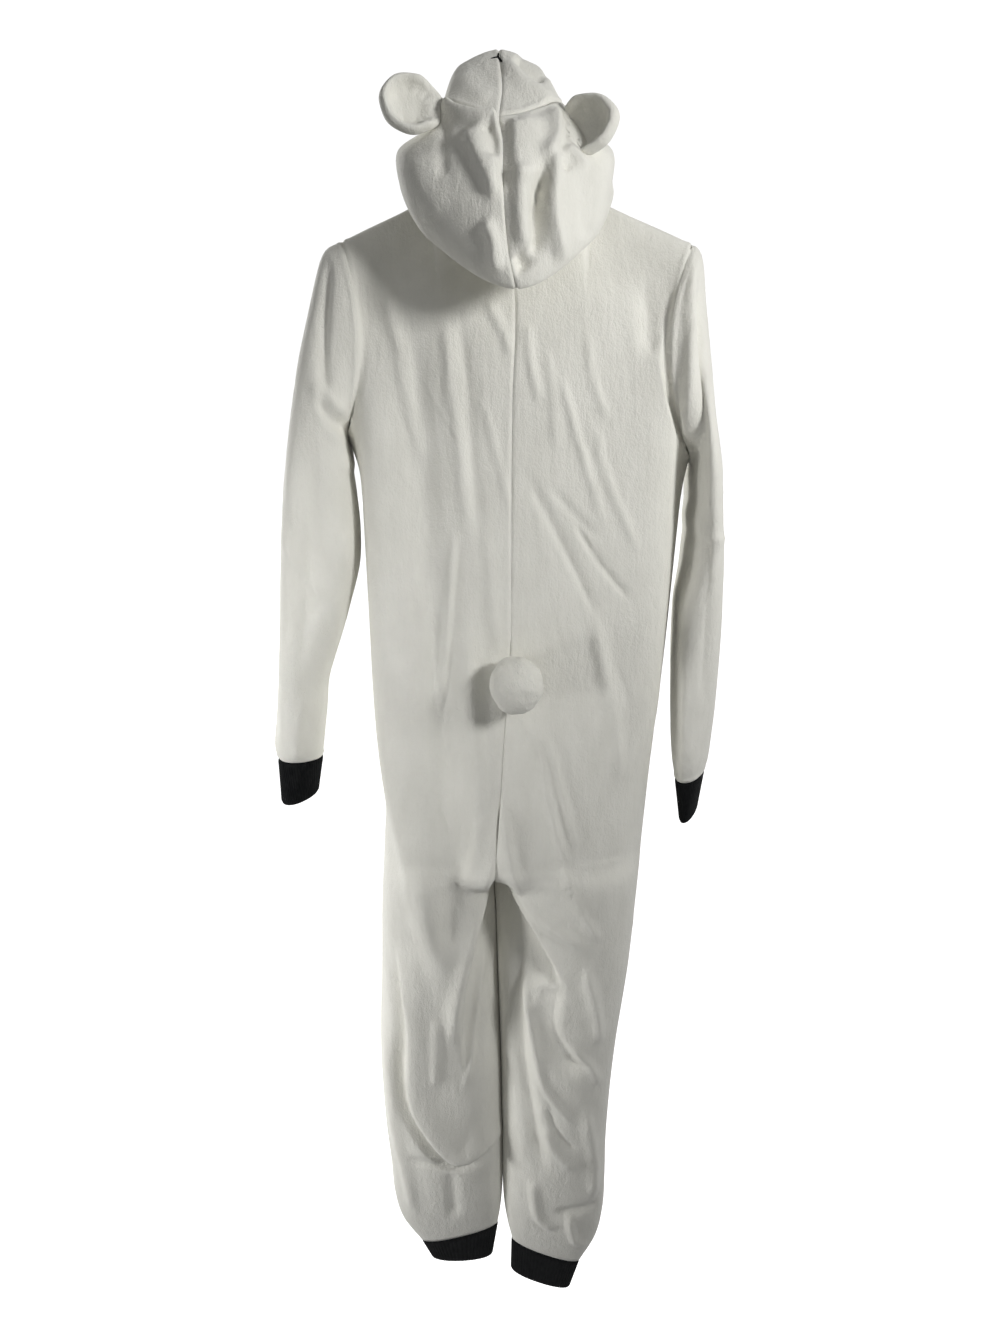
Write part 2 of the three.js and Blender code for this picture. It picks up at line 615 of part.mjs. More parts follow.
// The direction of the plane that a leg's hem lies in.
function hemPlane(half) {
  const side = SIDE_NAME[half];
  const hem = LOWER_ROWS.at(-1);
  const across = [read(BODY, 'z', hem, side) - read(MIDDLE, 'z', hem, side), 0, read(TILT, 'z', hem, side)];
  return unit(cross(across, [0, 1, 0]));
}

// The direction out of a body piece at its edges, so that the pieces meet on one plane.
function bodyEdge(half, face) {
  const columns = bodyColumns(half);
  const neckCount = 90 / NECK_STEP;
  const crotchRow = ARMHOLE_ROWS.length + LOWER_ROWS.indexOf(CROTCH_Z);
  return (r, c, normal) => {
    const [x, y, z] = normal;
    if (c === columns.length - 1 && r < ARMHOLE_ROWS.length) {
      const angle = radians(armholeAngle(ARMHOLE_ROWS[r]));
      return [0, face * Math.sin(angle), Math.cos(angle)];
    }
    if (r === 0 && c < neckCount) {
      const degrees = face === BACK ? columns[c].degrees : 180 - columns[c].degrees;
      return minus(neckPoint(half, degrees), neckPoint(half, degrees, 1));
    }
    if (r === 0) return [0, 0, 1];
    if (r === ARMHOLE_ROWS.length + LOWER_ROWS.length - 1) {
      const level = c === 0 || c === columns.length - 1 ? [x, 0, z] : normal;
      return inPlane(level, hemPlane(half));
    }
    if (c === columns.length - 1) return unit([x, 0, z]);
    if (c === 0 && r < crotchRow) return unit([0, y, z]);
    if (c === 0 && r === crotchRow) return [0, 0, -1];
    if (c === 0) return unit([x, 0, z]);
    return normal;
  };
}

function addBody() {
  for (const half of [LEFT, RIGHT]) {
    for (const face of [BACK, FRONT]) {
      const grid = bodyGrid(half, face);
      const inner = moveIn(grid, FLEECE, { outward: [0, face, 0], edge: bodyEdge(half, face) });
      add(`${FACE_NAME[face]}_${SIDE_NAME[half]}`, wallMesh(grid, inner), 'fleece');
    }
  }
}

function sleeveAngles() {
  const back = ARMHOLE_ROWS.map(armholeAngle);
  const front = back.slice(1, -1).map((angle) => 360 - angle).reverse();
  return [...back, ...front];
}

// The direction of the plane that a sleeve's end lies in.
function wristPlane(half) {
  const last = SLEEVE_ROWS.at(-1);
  const across = minus(sleevePoint(half, last, 0), sleevePoint(half, last, 180));
  return unit(cross(across, minus(sleevePoint(half, last, 90), sleevePoint(half, last, 270))));
}

function addSleeves() {
  const angles = sleeveAngles();
  for (const half of [LEFT, RIGHT]) {
    const grid = SLEEVE_ROWS.map((at) => angles.map((degrees) => {
      const point = sleevePoint(half, at, degrees);
      point[0] += half * SEAM_GAP;
      return point;
    }));
    const edge = (r, c, normal) => {
      const angle = radians(angles[c]);
      if (r === 0) return [0, -Math.sin(angle), Math.cos(angle)];
      if (r === SLEEVE_ROWS.length - 1) return inPlane(normal, wristPlane(half));
      return normal;
    };
    const inner = moveIn(grid, FLEECE, { closed: true, outward: [half, 0, 0], edge });
    add(`sleeve_${SIDE_NAME[half]}`, wallMesh(grid, inner, true), 'fleece');
  }
}

// Cuffs.

// A knitted cuff between two rings. Its ribs are raised on the outside over a plain inside.
function cuffMesh(topPoint, endPoint, ribs, topPlane) {
  const angles = Array.from({ length: ribs * 2 }, (unused, i) => (i * 180) / ribs);
  const plain = [topPoint, endPoint].map((pointAt) => angles.map(pointAt));
  const options = { closed: true, outward: minus(plain[1][0], plain[1][ribs]) };
  const level = { ...options, edge: (r, c, normal) => inPlane(normal, r === 0 ? topPlane : [0, 0, 1]) };
  const raised = moveIn(plain, -RIB_HEIGHT, level);
  const outer = plain.map((row, r) => row.map((point, c) => (c % 2 ? point : raised[r][c])));
  return wallMesh(outer, moveIn(plain, RIB_KNIT, level), true);
}

function addCuffs() {
  const drop = [0, 0, -SEAM_GAP];
  for (const half of [LEFT, RIGHT]) {
    const side = SIDE_NAME[half];
    const wristTop = (degrees) => plus(sleevePoint(half, 12, degrees), [half * SEAM_GAP, 0, -SEAM_GAP]);
    const wristEnd = (degrees) => ringPoint(CUFF_END[`wrist_cuff_${side}`], degrees);
    add(`wrist_cuff_${side}`, cuffMesh(wristTop, wristEnd, WRIST_RIBS, wristPlane(half)), 'rib');

    const hem = LOWER_ROWS.at(-1);
    const ankleTop = (degrees) => {
      const face = degrees <= 180 ? BACK : FRONT;
      const turn = 1 - (face === BACK ? degrees : 360 - degrees) / 180;
      const part = Math.sin((turn * Math.PI) / 2) ** (2 / BODY_ROUNDING);
      return plus(lowerPoint(half, face, hem, { part }), drop);
    };
    const ankleEnd = (degrees) => ringPoint(CUFF_END[`ankle_cuff_${side}`], degrees);
    add(`ankle_cuff_${side}`, cuffMesh(ankleTop, ankleEnd, ANKLE_RIBS, hemPlane(half)), 'rib');
  }
}

// Hood.

// The place on the neckline where a line of the hood starts. The last one stops beside the zip.
const hoodDegrees = (u) => Math.min(u * 180, 177.7);

// The columns of half the hood, as parts of the way round it.
function hoodColumns() {
  const columns = [];
  let degrees = 0;
  while (degrees <= 180) {
    columns.push(degrees / 180);
    degrees += degrees < HOOD_STEPS.until ? HOOD_STEPS.close : HOOD_STEPS.wide;
  }
  return columns;
}

// A point of one half of the hood: u goes from the middle of its back, 0, to the edge round
// the face, 1, and at is a row of the table.
function hoodPoint(half, u, at) {
  const keys = [0, ...HOOD.map((row) => row.at)];
  const neck = neckPoint(half, hoodDegrees(u));
  neck[2] += 2 * SEAM_GAP;
  const lines = HOOD.map((row) => {
    const across = (name, mirror) => {
      const values = HOOD_LINES.map((unused, line) => row[`${name}${line}`]);
      return smooth([-HOOD_LINES[1], ...HOOD_LINES], [mirror * values[1], ...values], u);
    };
    const share = read(HOOD_SHARE, 'at', row.at, SIDE_NAME[half]);
    return [row.axis + half * share * across('x', -1), across('y', 1), across('z', 1)];
  });
  const points = [neck, ...lines];
  return [0, 1, 2].map((axis) => smooth(keys, points.map((point) => point[axis]), at));
}

// Half of the hood between two rows, with its folds.
function hoodGrid(half, piece, rows) {
  const columns = hoodColumns();
  const plain = rows.map((at) => columns.map((u) => hoodPoint(half, u, at)));
  const normals = gridNormals(plain, false, [half, 0, 0.2]);
  return plain.map((row, r) => row.map((point, c) => {
    const { from, fadeIn, until, fadeOut } = HOOD_FOLD_ROWS;
    const outside = ease((rows[r] - from) / fadeIn) * ease(columns[c] * 20) * ease((until - rows[r]) / fadeOut);
    const high = foldHeight(HOOD_FOLDS, piece, point[0], point[2]) * outside;
    const place = plus(point, normals[r][c], high);
    if (c === 0) place[0] += (half * SEAM_GAP) / 2;
    return place;
  }));
}

function hoodEdge(half, rows) {
  return (r, c, normal) => {
    const degrees = hoodDegrees(hoodColumns()[c]);
    if (rows[r] === 0) return minus(neckPoint(half, degrees), neckPoint(half, degrees, 1));
    if (c === 0) return unit([0, normal[1], normal[2]]);
    return normal;
  };
}

function addHood() {
  const pieces = [['hood_back', HOOD_NECK_ROWS], ['hood_crown', HOOD_CROWN_ROWS]];
  for (const half of [LEFT, RIGHT]) {
    for (const [name, rows] of pieces) {
      const piece = `${name}_${SIDE_NAME[half]}`;
      const grid = hoodGrid(half, piece, rows);
      if (name === 'hood_crown') {
        const next = grid[1];
        grid[0] = grid[0].map((point, c) => plus(point, unit(minus(next[c], point)), SEAM_GAP));
      }
      const inner = moveIn(grid, FLEECE, { outward: [half, 0, 0.2], edge: hoodEdge(half, rows) });
      add(piece, wallMesh(grid, inner), 'fleece');
    }
  }
}

// The part of the hood that an ear is cut by, so that the ear ends just outside it.
function earCutter(half) {
  const rows = EAR_CUT.rows;
  const back = hoodGrid(half, `hood_back_${SIDE_NAME[half]}`, rows);
  const options = { outward: [half, 0, 0.2] };
  return manifoldOf(wallMesh(moveIn(back, -EAR_CUT.clear, options), moveIn(back, EAR_CUT.deep, options)));
}

function earMesh(ear) {
  const angles = Array.from({ length: EAR_SIDES }, (unused, i) => (i * 2 * Math.PI) / EAR_SIDES);
  const rings = EAR_SECTION.map((row) => angles.map((angle) => [
    Math.cos(angle) * row.out * ear.wide,
    -row.high,
    Math.sin(angle) * row.out * ear.tall,
  ]));
  const geometry = loft(rings);
  geometry.rotateX(radians(ear.lean));
  geometry.rotateZ(radians(ear.turn));
  geometry.translate(ear.x, ear.y, ear.z);
  return geometry;
}

function addEars() {
  for (const half of [LEFT, RIGHT]) {
    const side = SIDE_NAME[half];
    const whole = manifoldOf(earMesh(EARS[side])).subtract(earCutter(half));
    const reach = (solid) => Math.max(half * solid.boundingBox().min[0], half * solid.boundingBox().max[0]);
    const [outside] = whole.decompose().sort((a, b) => reach(b) - reach(a));
    add(`ear_${side}`, geometryOf(outside), 'fleece');
  }
}

function addTail() {
  const rings = [];
  for (let r = 1; r < TAIL.rings; r += 1) {
    const up = Math.PI * (r / TAIL.rings);
    const ring = [];
    for (let c = 0; c < TAIL.sides; c += 1) {
      const round = (c * 2 * Math.PI) / TAIL.sides;
      const y = TAIL.flatY - TAIL.wide + TAIL.sunk - Math.sin(up) * Math.cos(round) * TAIL.wide;
      ring.push([
        TAIL.x + Math.sin(up) * Math.sin(round) * TAIL.wide,
        Math.min(y, TAIL.flatY),
        TAIL.z + Math.cos(up) * TAIL.tall,
      ]);
    }
    rings.push(ring);
  }
  add('tail', loft(rings), 'fleece');
}

// Zip.

// The rows of a front piece that the zip runs along.
function zipRows(half) {
  return bodyGrid(half, FRONT).filter((row) => row[0][2] <= ZIP_TOP && row[0][2] >= ZIP_END);
}

function addZip() {
  const edges = { left: zipRows(LEFT), right: zipRows(RIGHT) };
  for (const side of ['left', 'right']) {
    const place = (row, out) => {
      const point = plus(row[0], unit(minus(row[1], row[0])), out);
      return plus(point, [0, -1, 0], FLEECE + TAPE_BEHIND);
    };
    const outer = edges[side].map((row) => [place(row, 0), place(row, TAPE.width)]);
    const inner = outer.map((row) => row.map((point) => plus(point, [0, -TAPE.thick, 0])));
    add(`zip_tape_${side}`, wallMesh(outer, inner), 'tape');
  }
  const clear = ZIP_HALF - CHAIN.half;
  const outer = edges.left.map((row, r) => {
    const [a, b] = [row[0], edges.right[r][0]];
    return [[a[0] + clear, a[1] + CHAIN.proud, a[2]], [b[0] - clear, b[1] + CHAIN.proud, b[2]]];
  });
  const inner = outer.map((row) => row.map((point) => plus(point, [0, -CHAIN.proud - CHAIN.deep, 0])));
  add('zip_chain', wallMesh(outer, inner), 'zip');
}

// The front of the zip's chain at a height.
function chainFront(z) {
  const rows = zipRows(RIGHT).map((row) => ({ z: row[0][2], y: row[0][1] + CHAIN.proud }));
  const next = rows.findIndex((row) => row.z <= z);
  const [a, b] = [rows[next - 1], rows[next]];
  return mix(a.y, b.y, (z - a.z) / (b.z - a.z));
}

function boxAt(x, y, z, wide, deep, tall) {
  const geometry = new THREE.BoxGeometry(wide, deep, tall);
  geometry.translate(x, y, z);
  return manifoldOf(geometry);
}

function rodAcross(x, y, z, radius, width) {
  const geometry = new THREE.CylinderGeometry(radius, radius, width, PULL.sides);
  geometry.rotateZ(Math.PI / 2);
  geometry.translate(x, y, z);
  return manifoldOf(geometry);
}

// The slider with its lugs and pin, and the pull tab that swings on the pin.
function addSlider() {
  const x = read(MIDDLE, 'z', SLIDER.z, 'left');
  const lowest = SLIDER.z - SLIDER.tall / 2;
  const base = Math.max(chainFront(lowest), chainFront(SLIDER.z + SLIDER.tall / 2)) + SEAM_GAP;
  const pinY = base + SLIDER.thick + SLIDER.pinOut;
  const pinZ = SLIDER.z + 1;
  let slider = boxAt(x, base + SLIDER.thick / 2, SLIDER.z, SLIDER.wide, SLIDER.thick, SLIDER.tall);
  const lugX = (SLIDER.lugGap + SLIDER.lug) / 2;
  const lugDeep = SLIDER.pinOut + LUG.past;
  const lugY = base + SLIDER.thick + lugDeep / 2 - LUG.sunk;
  for (const side of [-1, 1]) {
    slider = slider.add(boxAt(x + side * lugX, lugY, pinZ, SLIDER.lug, lugDeep, LUG.tall));
  }
  slider = slider.add(rodAcross(x, pinY, pinZ, SLIDER.pinRadius, SLIDER.lugGap + SLIDER.lug));
  add('zip_slider', geometryOf(slider), 'metal');

  const plateTop = pinZ - PULL.start;
  let pull = rodAcross(x, pinY, pinZ, PULL.eye, PULL.width);
  pull = pull.add(boxAt(x, pinY, pinZ - PULL.start / 2 - 1, PULL.width, PULL.thick, PULL.start));
  pull = pull.add(boxAt(x, pinY, plateTop - PULL.length / 2, PULL.plate, PULL.thick, PULL.length));
  pull = pull.subtract(rodAcross(x, pinY, pinZ, PULL.hole, PULL.width + 1));
  add('zip_pull', geometryOf(pull), 'metal');
}

// Hanger.

// A rod along a curve in the plane of the hanger, with a rounded section.
function rodAlong(points, thick, tall, sides) {
  const tangentAt = (i) => unit(minus(points[Math.min(i + 1, points.length - 1)], points[Math.max(i - 1, 0)]));
  const rings = points.map((point, i) => {
    const tangent = tangentAt(i);
    const across = cross(tangent, [0, 1, 0]);
    return Array.from({ length: sides }, (unused, c) => {
      const angle = (c * 2 * Math.PI) / sides;
      return plus(plus(point, across, Math.cos(angle) * tall), [0, 1, 0], Math.sin(angle) * thick);
    });
  });
  return loft(rings);
}

function addHanger() {
  const tips = { [LEFT]: sleevePoint(LEFT, 0, 0), [RIGHT]: sleevePoint(RIGHT, 0, 0) };
  const arm = (half, distance) => {
    const sideX = NECK.x + half * NECK.side;
    const slope = (tips[half][2] - NECK.sideZ) / (tips[half][0] - sideX);
    const x = HANGER.x + half * distance;
    const straight = NECK.sideZ + (x - sideX) * slope - HANGER.under;
    const middle = mix(HANGER.rise, straight, ease(distance / NECK.side));
    return [x, 0, Math.min(straight, middle)];
  };
  const distances = [0, 25, 50, 75, 100, 130, 160, HANGER.reach];
  const points = [
    ...distances.slice(1).reverse().map((distance) => arm(LEFT, distance)),
    ...distances.map((distance) => arm(RIGHT, distance)),
  ];
  const arms = manifoldOf(rodAlong(points, HANGER.thick, HANGER.tall, HANGER.sides));
  const middle = HOOK.radius + HANGER.stem;
  const hook = [
    [HANGER.x, 0, HANGER.rise + 2],
    [HANGER.x, 0, -70],
    [HANGER.x + 1.5, 0, -48],
    [middle - 2, 0, -32],
  ];
  for (let degrees = 0; degrees <= 200; degrees += 20) {
    const angle = radians(degrees);
    hook.push([Math.cos(angle) * middle, 0, Math.sin(angle) * middle - HOOK.radius]);
  }
  const rod = manifoldOf(rodAlong(hook, HANGER.stem, HANGER.stem, HOOK.sides));
  add('hanger', geometryOf(arms.add(rod)), 'hanger');
}

addBody();
addSleeves();
addCuffs();
addHood();
addEars();
addTail();
addZip();
addSlider();
addHanger();

export default onesie;
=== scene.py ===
# %% [markdown]
# # A white fleece bear onesie on its hanger
#
# This lesson dresses a measured model of a hooded onesie. The model gives every place and
# size; what is made here is what the eye reads as cloth: folds, sunk seams, ribs, sewing and
# the nap of the fleece. We start by loading the model, so each piece can lie where it says.

# %% Load the measured model
import bpy
import numpy as np
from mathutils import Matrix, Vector


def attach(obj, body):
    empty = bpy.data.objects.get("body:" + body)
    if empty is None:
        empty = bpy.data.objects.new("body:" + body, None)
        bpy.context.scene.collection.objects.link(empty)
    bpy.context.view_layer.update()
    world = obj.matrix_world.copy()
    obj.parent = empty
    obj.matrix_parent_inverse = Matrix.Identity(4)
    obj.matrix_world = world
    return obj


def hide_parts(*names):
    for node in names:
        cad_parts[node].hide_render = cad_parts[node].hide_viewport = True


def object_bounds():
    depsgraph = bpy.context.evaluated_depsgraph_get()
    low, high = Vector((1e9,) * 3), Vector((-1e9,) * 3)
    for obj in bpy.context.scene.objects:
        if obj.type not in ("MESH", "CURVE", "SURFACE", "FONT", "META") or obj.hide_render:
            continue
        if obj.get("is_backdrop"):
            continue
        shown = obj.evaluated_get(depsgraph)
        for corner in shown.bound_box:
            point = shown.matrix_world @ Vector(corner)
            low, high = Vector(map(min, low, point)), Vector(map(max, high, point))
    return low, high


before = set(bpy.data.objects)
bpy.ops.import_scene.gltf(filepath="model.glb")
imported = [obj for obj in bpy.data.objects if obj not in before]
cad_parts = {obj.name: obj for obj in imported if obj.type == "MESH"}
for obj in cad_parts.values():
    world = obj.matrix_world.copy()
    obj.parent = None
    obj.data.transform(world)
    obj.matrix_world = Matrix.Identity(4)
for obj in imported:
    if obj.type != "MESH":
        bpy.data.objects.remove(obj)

cad_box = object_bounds()
scene = bpy.context.scene
MM = 0.001  # all sizes below are in millimetres, and Blender works in metres

# %% [markdown]
# ## Small sums that every piece uses
#
# A garment is full of lines that a cutter draws with a curved ruler through a few marks. The
# function `curve` is that ruler: it goes smoothly through pairs of a place and a value. Whole
# arrays go through it at once, which is much faster than a loop over points.

# %% Rulers and blends
LEFT, RIGHT = -1, 1
BACK, FRONT = -1, 1
SIDE = {LEFT: "left", RIGHT: "right"}
FACE = {BACK: "back", FRONT: "front"}


def table(columns, *rows):
    """Rows of numbers as named columns, each one array."""
    return dict(zip(columns.split(), np.array(rows, float).T))


def ease(value):
    """Rises from 0 to 1 as 3 t squared less 2 t cubed."""
    part = np.clip(value, 0, 1)
    return part * part * (3 - 2 * part)


def mix(a, b, part):
    """The value a part of the way from a to b."""
    return a + (b - a) * part


def signed_power(value, power):
    """A power of the size of a value, which keeps its sign."""
    return np.sign(value) * np.abs(value) ** power


def curve(keys, values, at):
    """A smooth curve: a cubic between each two keys, whose slope at a key is that between its
    two neighbours. The values may be rows of an array."""
    keys, values = np.asarray(keys, float), np.asarray(values, float)
    if keys[0] > keys[-1]:
        keys, values = keys[::-1], values[::-1]
    at = np.clip(at, keys[0], keys[-1])
    i = np.clip(np.searchsorted(keys, at) - 1, 0, len(keys) - 2)
    before = np.maximum(np.arange(len(keys)) - 1, 0)
    after = np.minimum(np.arange(len(keys)) + 1, len(keys) - 1)
    wide = (...,) + (None,) * (values.ndim - 1)
    slope = (values[after] - values[before]) / (keys[after] - keys[before])[wide]
    span = (keys[i + 1] - keys[i])[wide]
    t = ((at - keys[i]) / (keys[i + 1] - keys[i]))[wide]
    return (values[i] * (2 * t**3 - 3 * t**2 + 1) + slope[i] * span * (t**3 - 2 * t**2 + t)
            + values[i + 1] * (3 * t**2 - 2 * t**3) + slope[i + 1] * span * (t**3 - t**2))


def spread(count, closer):
    """Numbers from 0 to 1 which crowd towards both ends, where the seams need fine rows."""
    t = np.linspace(0, 1, count)
    return mix(t, (1 - np.cos(np.pi * t)) / 2, closer)


# %% [markdown]
# ## From a grid of points to a piece of cloth
#
# Cloth is a thin wall. Each piece here is first a grid of points for its outside. Its inside is
# the same grid moved in by the thickness of the cloth along the normals, and rims join the
# two, so the wall is closed. A Solidify modifier could do this too; doing it by hand shows
# what it does and keeps the rims where the seams are.

# %% Walls and meshes
def normals_of(grid, closed, outward):
    """Normals of a grid: the cross product of its steps down and across, turned so that the
    one in the middle agrees with the direction outward."""
    if closed:
        ring = np.concatenate([grid[:, -1:], grid, grid[:, :1]], axis=1)
        across = (ring[:, 2:] - ring[:, :-2]) / 2
    else:
        across = np.gradient(grid, axis=1)
    normal = np.cross(np.gradient(grid, axis=0), across)
    normal /= np.linalg.norm(normal, axis=-1, keepdims=True) + 1e-12
    middle = normal[normal.shape[0] // 2, 0 if closed else normal.shape[1] // 2]
    return normal if middle @ np.asarray(outward, float) > 0 else -normal


def quads_of(rows, columns, closed):
    """Corner numbers of the squares of a grid, going down and then across."""
    down = np.arange(rows - 1)[:, None] * columns
    across = np.arange(columns if closed else columns - 1)[None, :]
    beside = (across + 1) % columns
    corners = [down + across, down + columns + across, down + columns + beside, down + beside]
    return np.stack(corners, axis=-1).reshape(-1, 4)


def make_piece(name, points, quads, material, triangles=(), smooth=True):
    """A mesh object from points in millimetres. Its place is in its mesh."""
    quads = np.asarray(quads, int).reshape(-1, 4)
    triangles = np.asarray(triangles, int).reshape(-1, 3)
    corners = np.concatenate([quads.ravel(), triangles.ravel()])
    starts = np.concatenate([np.arange(len(quads)) * 4, len(quads) * 4 + np.arange(len(triangles)) * 3])
    mesh = bpy.data.meshes.new(name)
    mesh.vertices.add(len(points))
    mesh.vertices.foreach_set("co", (np.asarray(points, float) * MM).ravel())
    mesh.loops.add(len(corners))
    mesh.loops.foreach_set("vertex_index", corners)
    mesh.polygons.add(len(starts))
    mesh.polygons.foreach_set("loop_start", starts)
    mesh.polygons.foreach_set("use_smooth", np.full(len(starts), smooth))
    mesh.update(calc_edges=True)
    mesh.validate()
    piece = bpy.data.objects.new(name, mesh)
    scene.collection.objects.link(piece)
    mesh.materials.append(material)
    return piece


def wall(name, grid, outward, thick, material, closed=False):
    """A thin closed wall: the grid, its copy moved in along the normals, and the rims."""
    rows, columns = grid.shape[:2]
    normal = normals_of(grid, closed, outward)
    inner = grid - thick * normal
    points = np.concatenate([grid.reshape(-1, 3), inner.reshape(-1, 3)])
    count = rows * columns
    outside = quads_of(rows, columns, closed)
    inside = outside[:, ::-1] + count
    edge = np.arange(columns if closed else columns - 1)
    beside = (edge + 1) % columns
    last = (rows - 1) * columns
    rims = [np.stack([edge, beside, beside + count, edge + count], -1),
            np.stack([last + beside, last + edge, last + edge + count, last + beside + count], -1)]
    if not closed:
        down = np.arange(rows - 1) * columns
        far = down + columns - 1
        rims.append(np.stack([down + columns, down, down + count, down + columns + count], -1))
        rims.append(np.stack([far, far + columns, far + columns + count, far + count], -1))
    quads = np.concatenate([outside, inside, *rims])
    first = grid.reshape(-1, 3)[outside]
    facing = np.cross(first[:, 1] - first[:, 0], first[:, 3] - first[:, 0])
    agrees = np.sum(facing * normal.reshape(-1, 3)[outside[:, 0]])
    return make_piece(name, points, quads if agrees > 0 else quads[:, ::-1], material)


def area_of(grid, closed=False):
    """The area of a grid in square metres: half of each square's crossed diagonals."""
    ring = np.concatenate([grid, grid[:, :1]], axis=1) if closed else grid
    one = ring[1:, 1:] - ring[:-1, :-1]
    other = ring[1:, :-1] - ring[:-1, 1:]
    return np.linalg.norm(np.cross(one, other), axis=-1).sum() / 2 * MM * MM


# %% [markdown]
# ## Folds
#
# A fold of soft fleece is a rounded ridge or trough that runs along a bent line and fades at
# both ends. One side is often steeper than the other, because the cloth hangs over. So a fold
# here is a line through a few places, a width on each side of it, and a height. Sculpting
# could make them by hand; a table can be read, moved and compared with the real garment.

# %% Folds along lines
def fold_line(places):
    """Points along the smooth line through a few places."""
    places = np.asarray(places, float)
    keys = np.arange(len(places))
    return curve(keys, places, np.linspace(0, len(places) - 1, 6 * (len(places) - 1) + 1))


def beside_line(x, z, places):
    """For each point: how far it lies to the right of a line that runs down, and the part
    along the line."""
    line = fold_line(places)
    step = np.diff(line, axis=0)
    reach = np.concatenate([[0], np.cumsum(np.linalg.norm(step, axis=1))])
    best = np.full(x.shape, 1e9)
    aside, along = np.zeros(x.shape), np.zeros(x.shape)
    for i, (dx, dz) in enumerate(step):
        long = np.hypot(dx, dz)
        px, pz = x - line[i, 0], z - line[i, 1]
        t = (px * dx + pz * dz) / long**2
        near = np.clip(t, -1e9 if i == 0 else 0, 1e9 if i == len(step) - 1 else 1)
        away = (px - near * dx) ** 2 + (pz - near * dz) ** 2
        closer = away < best
        best = np.where(closer, away, best)
        side = np.sign(px * dz - pz * dx)
        aside = np.where(closer, -side * np.sqrt(away), aside)
        along = np.where(closer, (reach[i] + near * long) / reach[-1], along)
    return aside, along


FOLD_GAIN = 1.45  # every fold's height is multiplied by this
FOLD_FADE = 2.2  # how soon folds reach their height, going in from a panel's edges


def fold_heights(folds, x, z):
    """The sum of the folds: each is its height times a bell across its line, with its own
    width on each side, times an eased start and end."""
    height = np.zeros(x.shape)
    for left, right, high, *places in folds:
        aside, along = beside_line(x, z, places)
        wide = np.where(aside < 0, left, right)
        ends = ease(along / 0.25 + 0.4) * ease((1 - along) / 0.25 + 0.4)
        height += FOLD_GAIN * high * np.exp(-((aside / wide) ** 2)) * ends
    return height


def steps_back(steps, x, z):
    """How far cloth is set back beside a fold that hangs over it: an eased step across the
    line, which is full for a width and then comes forward again."""
    depth = np.zeros(x.shape)
    for side, soft, far, deep, *places in steps:
        aside, along = beside_line(x, z, places)
        inside = side * aside
        ends = ease(along / 0.15 + 0.3) * ease((1 - along) / 0.3 + 0.2)
        depth += deep * ease(inside / soft + 0.5) * ease((far - inside) / (0.7 * far)) * ends
    return depth


# %% [markdown]
# ## The shape of the body
#
# A onesie's body is four panels: two halves of the back and two of the front, each running down
# into its leg. The tables give its outline seen from behind and its depth, at heights below the
# hanger's hook. They are the model's own driving sizes, written out again.

# %% Driving sizes of the body
FLEECE = 2.0  # how thick the cloth is
ROUNDING = 2.3  # the power of the body's oval; an ellipse has 2
NECK_X, NECK_SIDE, NECK_SIDE_Z = 12, 92, -133
NECK_DEPTH = {BACK: 42, FRONT: 50}
NECK_LOW = {BACK: -163, FRONT: -190}
OVER_BAR = 8.5  # how far in front of and behind its middle the cloth passes over the bar
CHEST_Z, FORK_START_Z, CROTCH_Z, ZIP_END = -400, -922, -968, -800
ZIP_HALF = 3.5
TABLE_LEG = 592  # the length of leg for which the tables are written
LEG_STRETCH = {LEFT: 577 / TABLE_LEG, RIGHT: 607 / TABLE_LEG}
BODY = table(
    "z left right back front",
    (-385, -181, 226, 64, 60), (-420, -170, 222, 68, 62), (-450, -165, 218, 70, 64),
    (-520, -162, 214, 74, 70), (-670, -159, 205, 78, 76), (-750, -155, 198, 81, 80),
    (-840, -149, 192, 86, 82), (-920, -153, 187, 88, 80), (-1010, -159, 182, 80, 74),
    (-1100, -162, 176, 72, 68), (-1230, -168, 162, 62, 60), (-1365, -165, 154, 54, 54),
    (-1450, -158, 154, 43, 43), (-1515, -150, 148, 30, 30), (-1560, -118, 121, 15, 15))
MIDDLE = table(
    "z left right",
    (-150, 12, 12), (-180, 12, 12), (-234, 20, 20), (-350, 14, 14), (-637, 12, 12),
    (-725, 6, 6), (-830, 0, 0), (-968, -8, -8), (-1010, -6.2, -5.8), (-1230, 0.3, 0.7),
    (-1365, 2.8, 3.2), (-1450, 3.6, 4.2), (-1505, 3, 7.6), (-1560, -3, 18))
TILT = table(
    "z left right",
    (-400, 8, -18), (-450, 4, -8), (-520, 0, 0), (-1380, 0, 0), (-1500, -16, -20), (-1560, -34, -42))


def read(rows, column, z):
    """A column of a table at some heights."""
    return curve(rows["z"], rows[column], z)


# %% [markdown]
# ## The shape of the sleeves
#
# A sleeve is a tube. Its rings are given by an inner and an outer point and by half the size
# across, and a ring is a little squarer than an ellipse. The first ring is the armhole, so the
# body's panels end on that same ring and the two pieces meet in a seam.

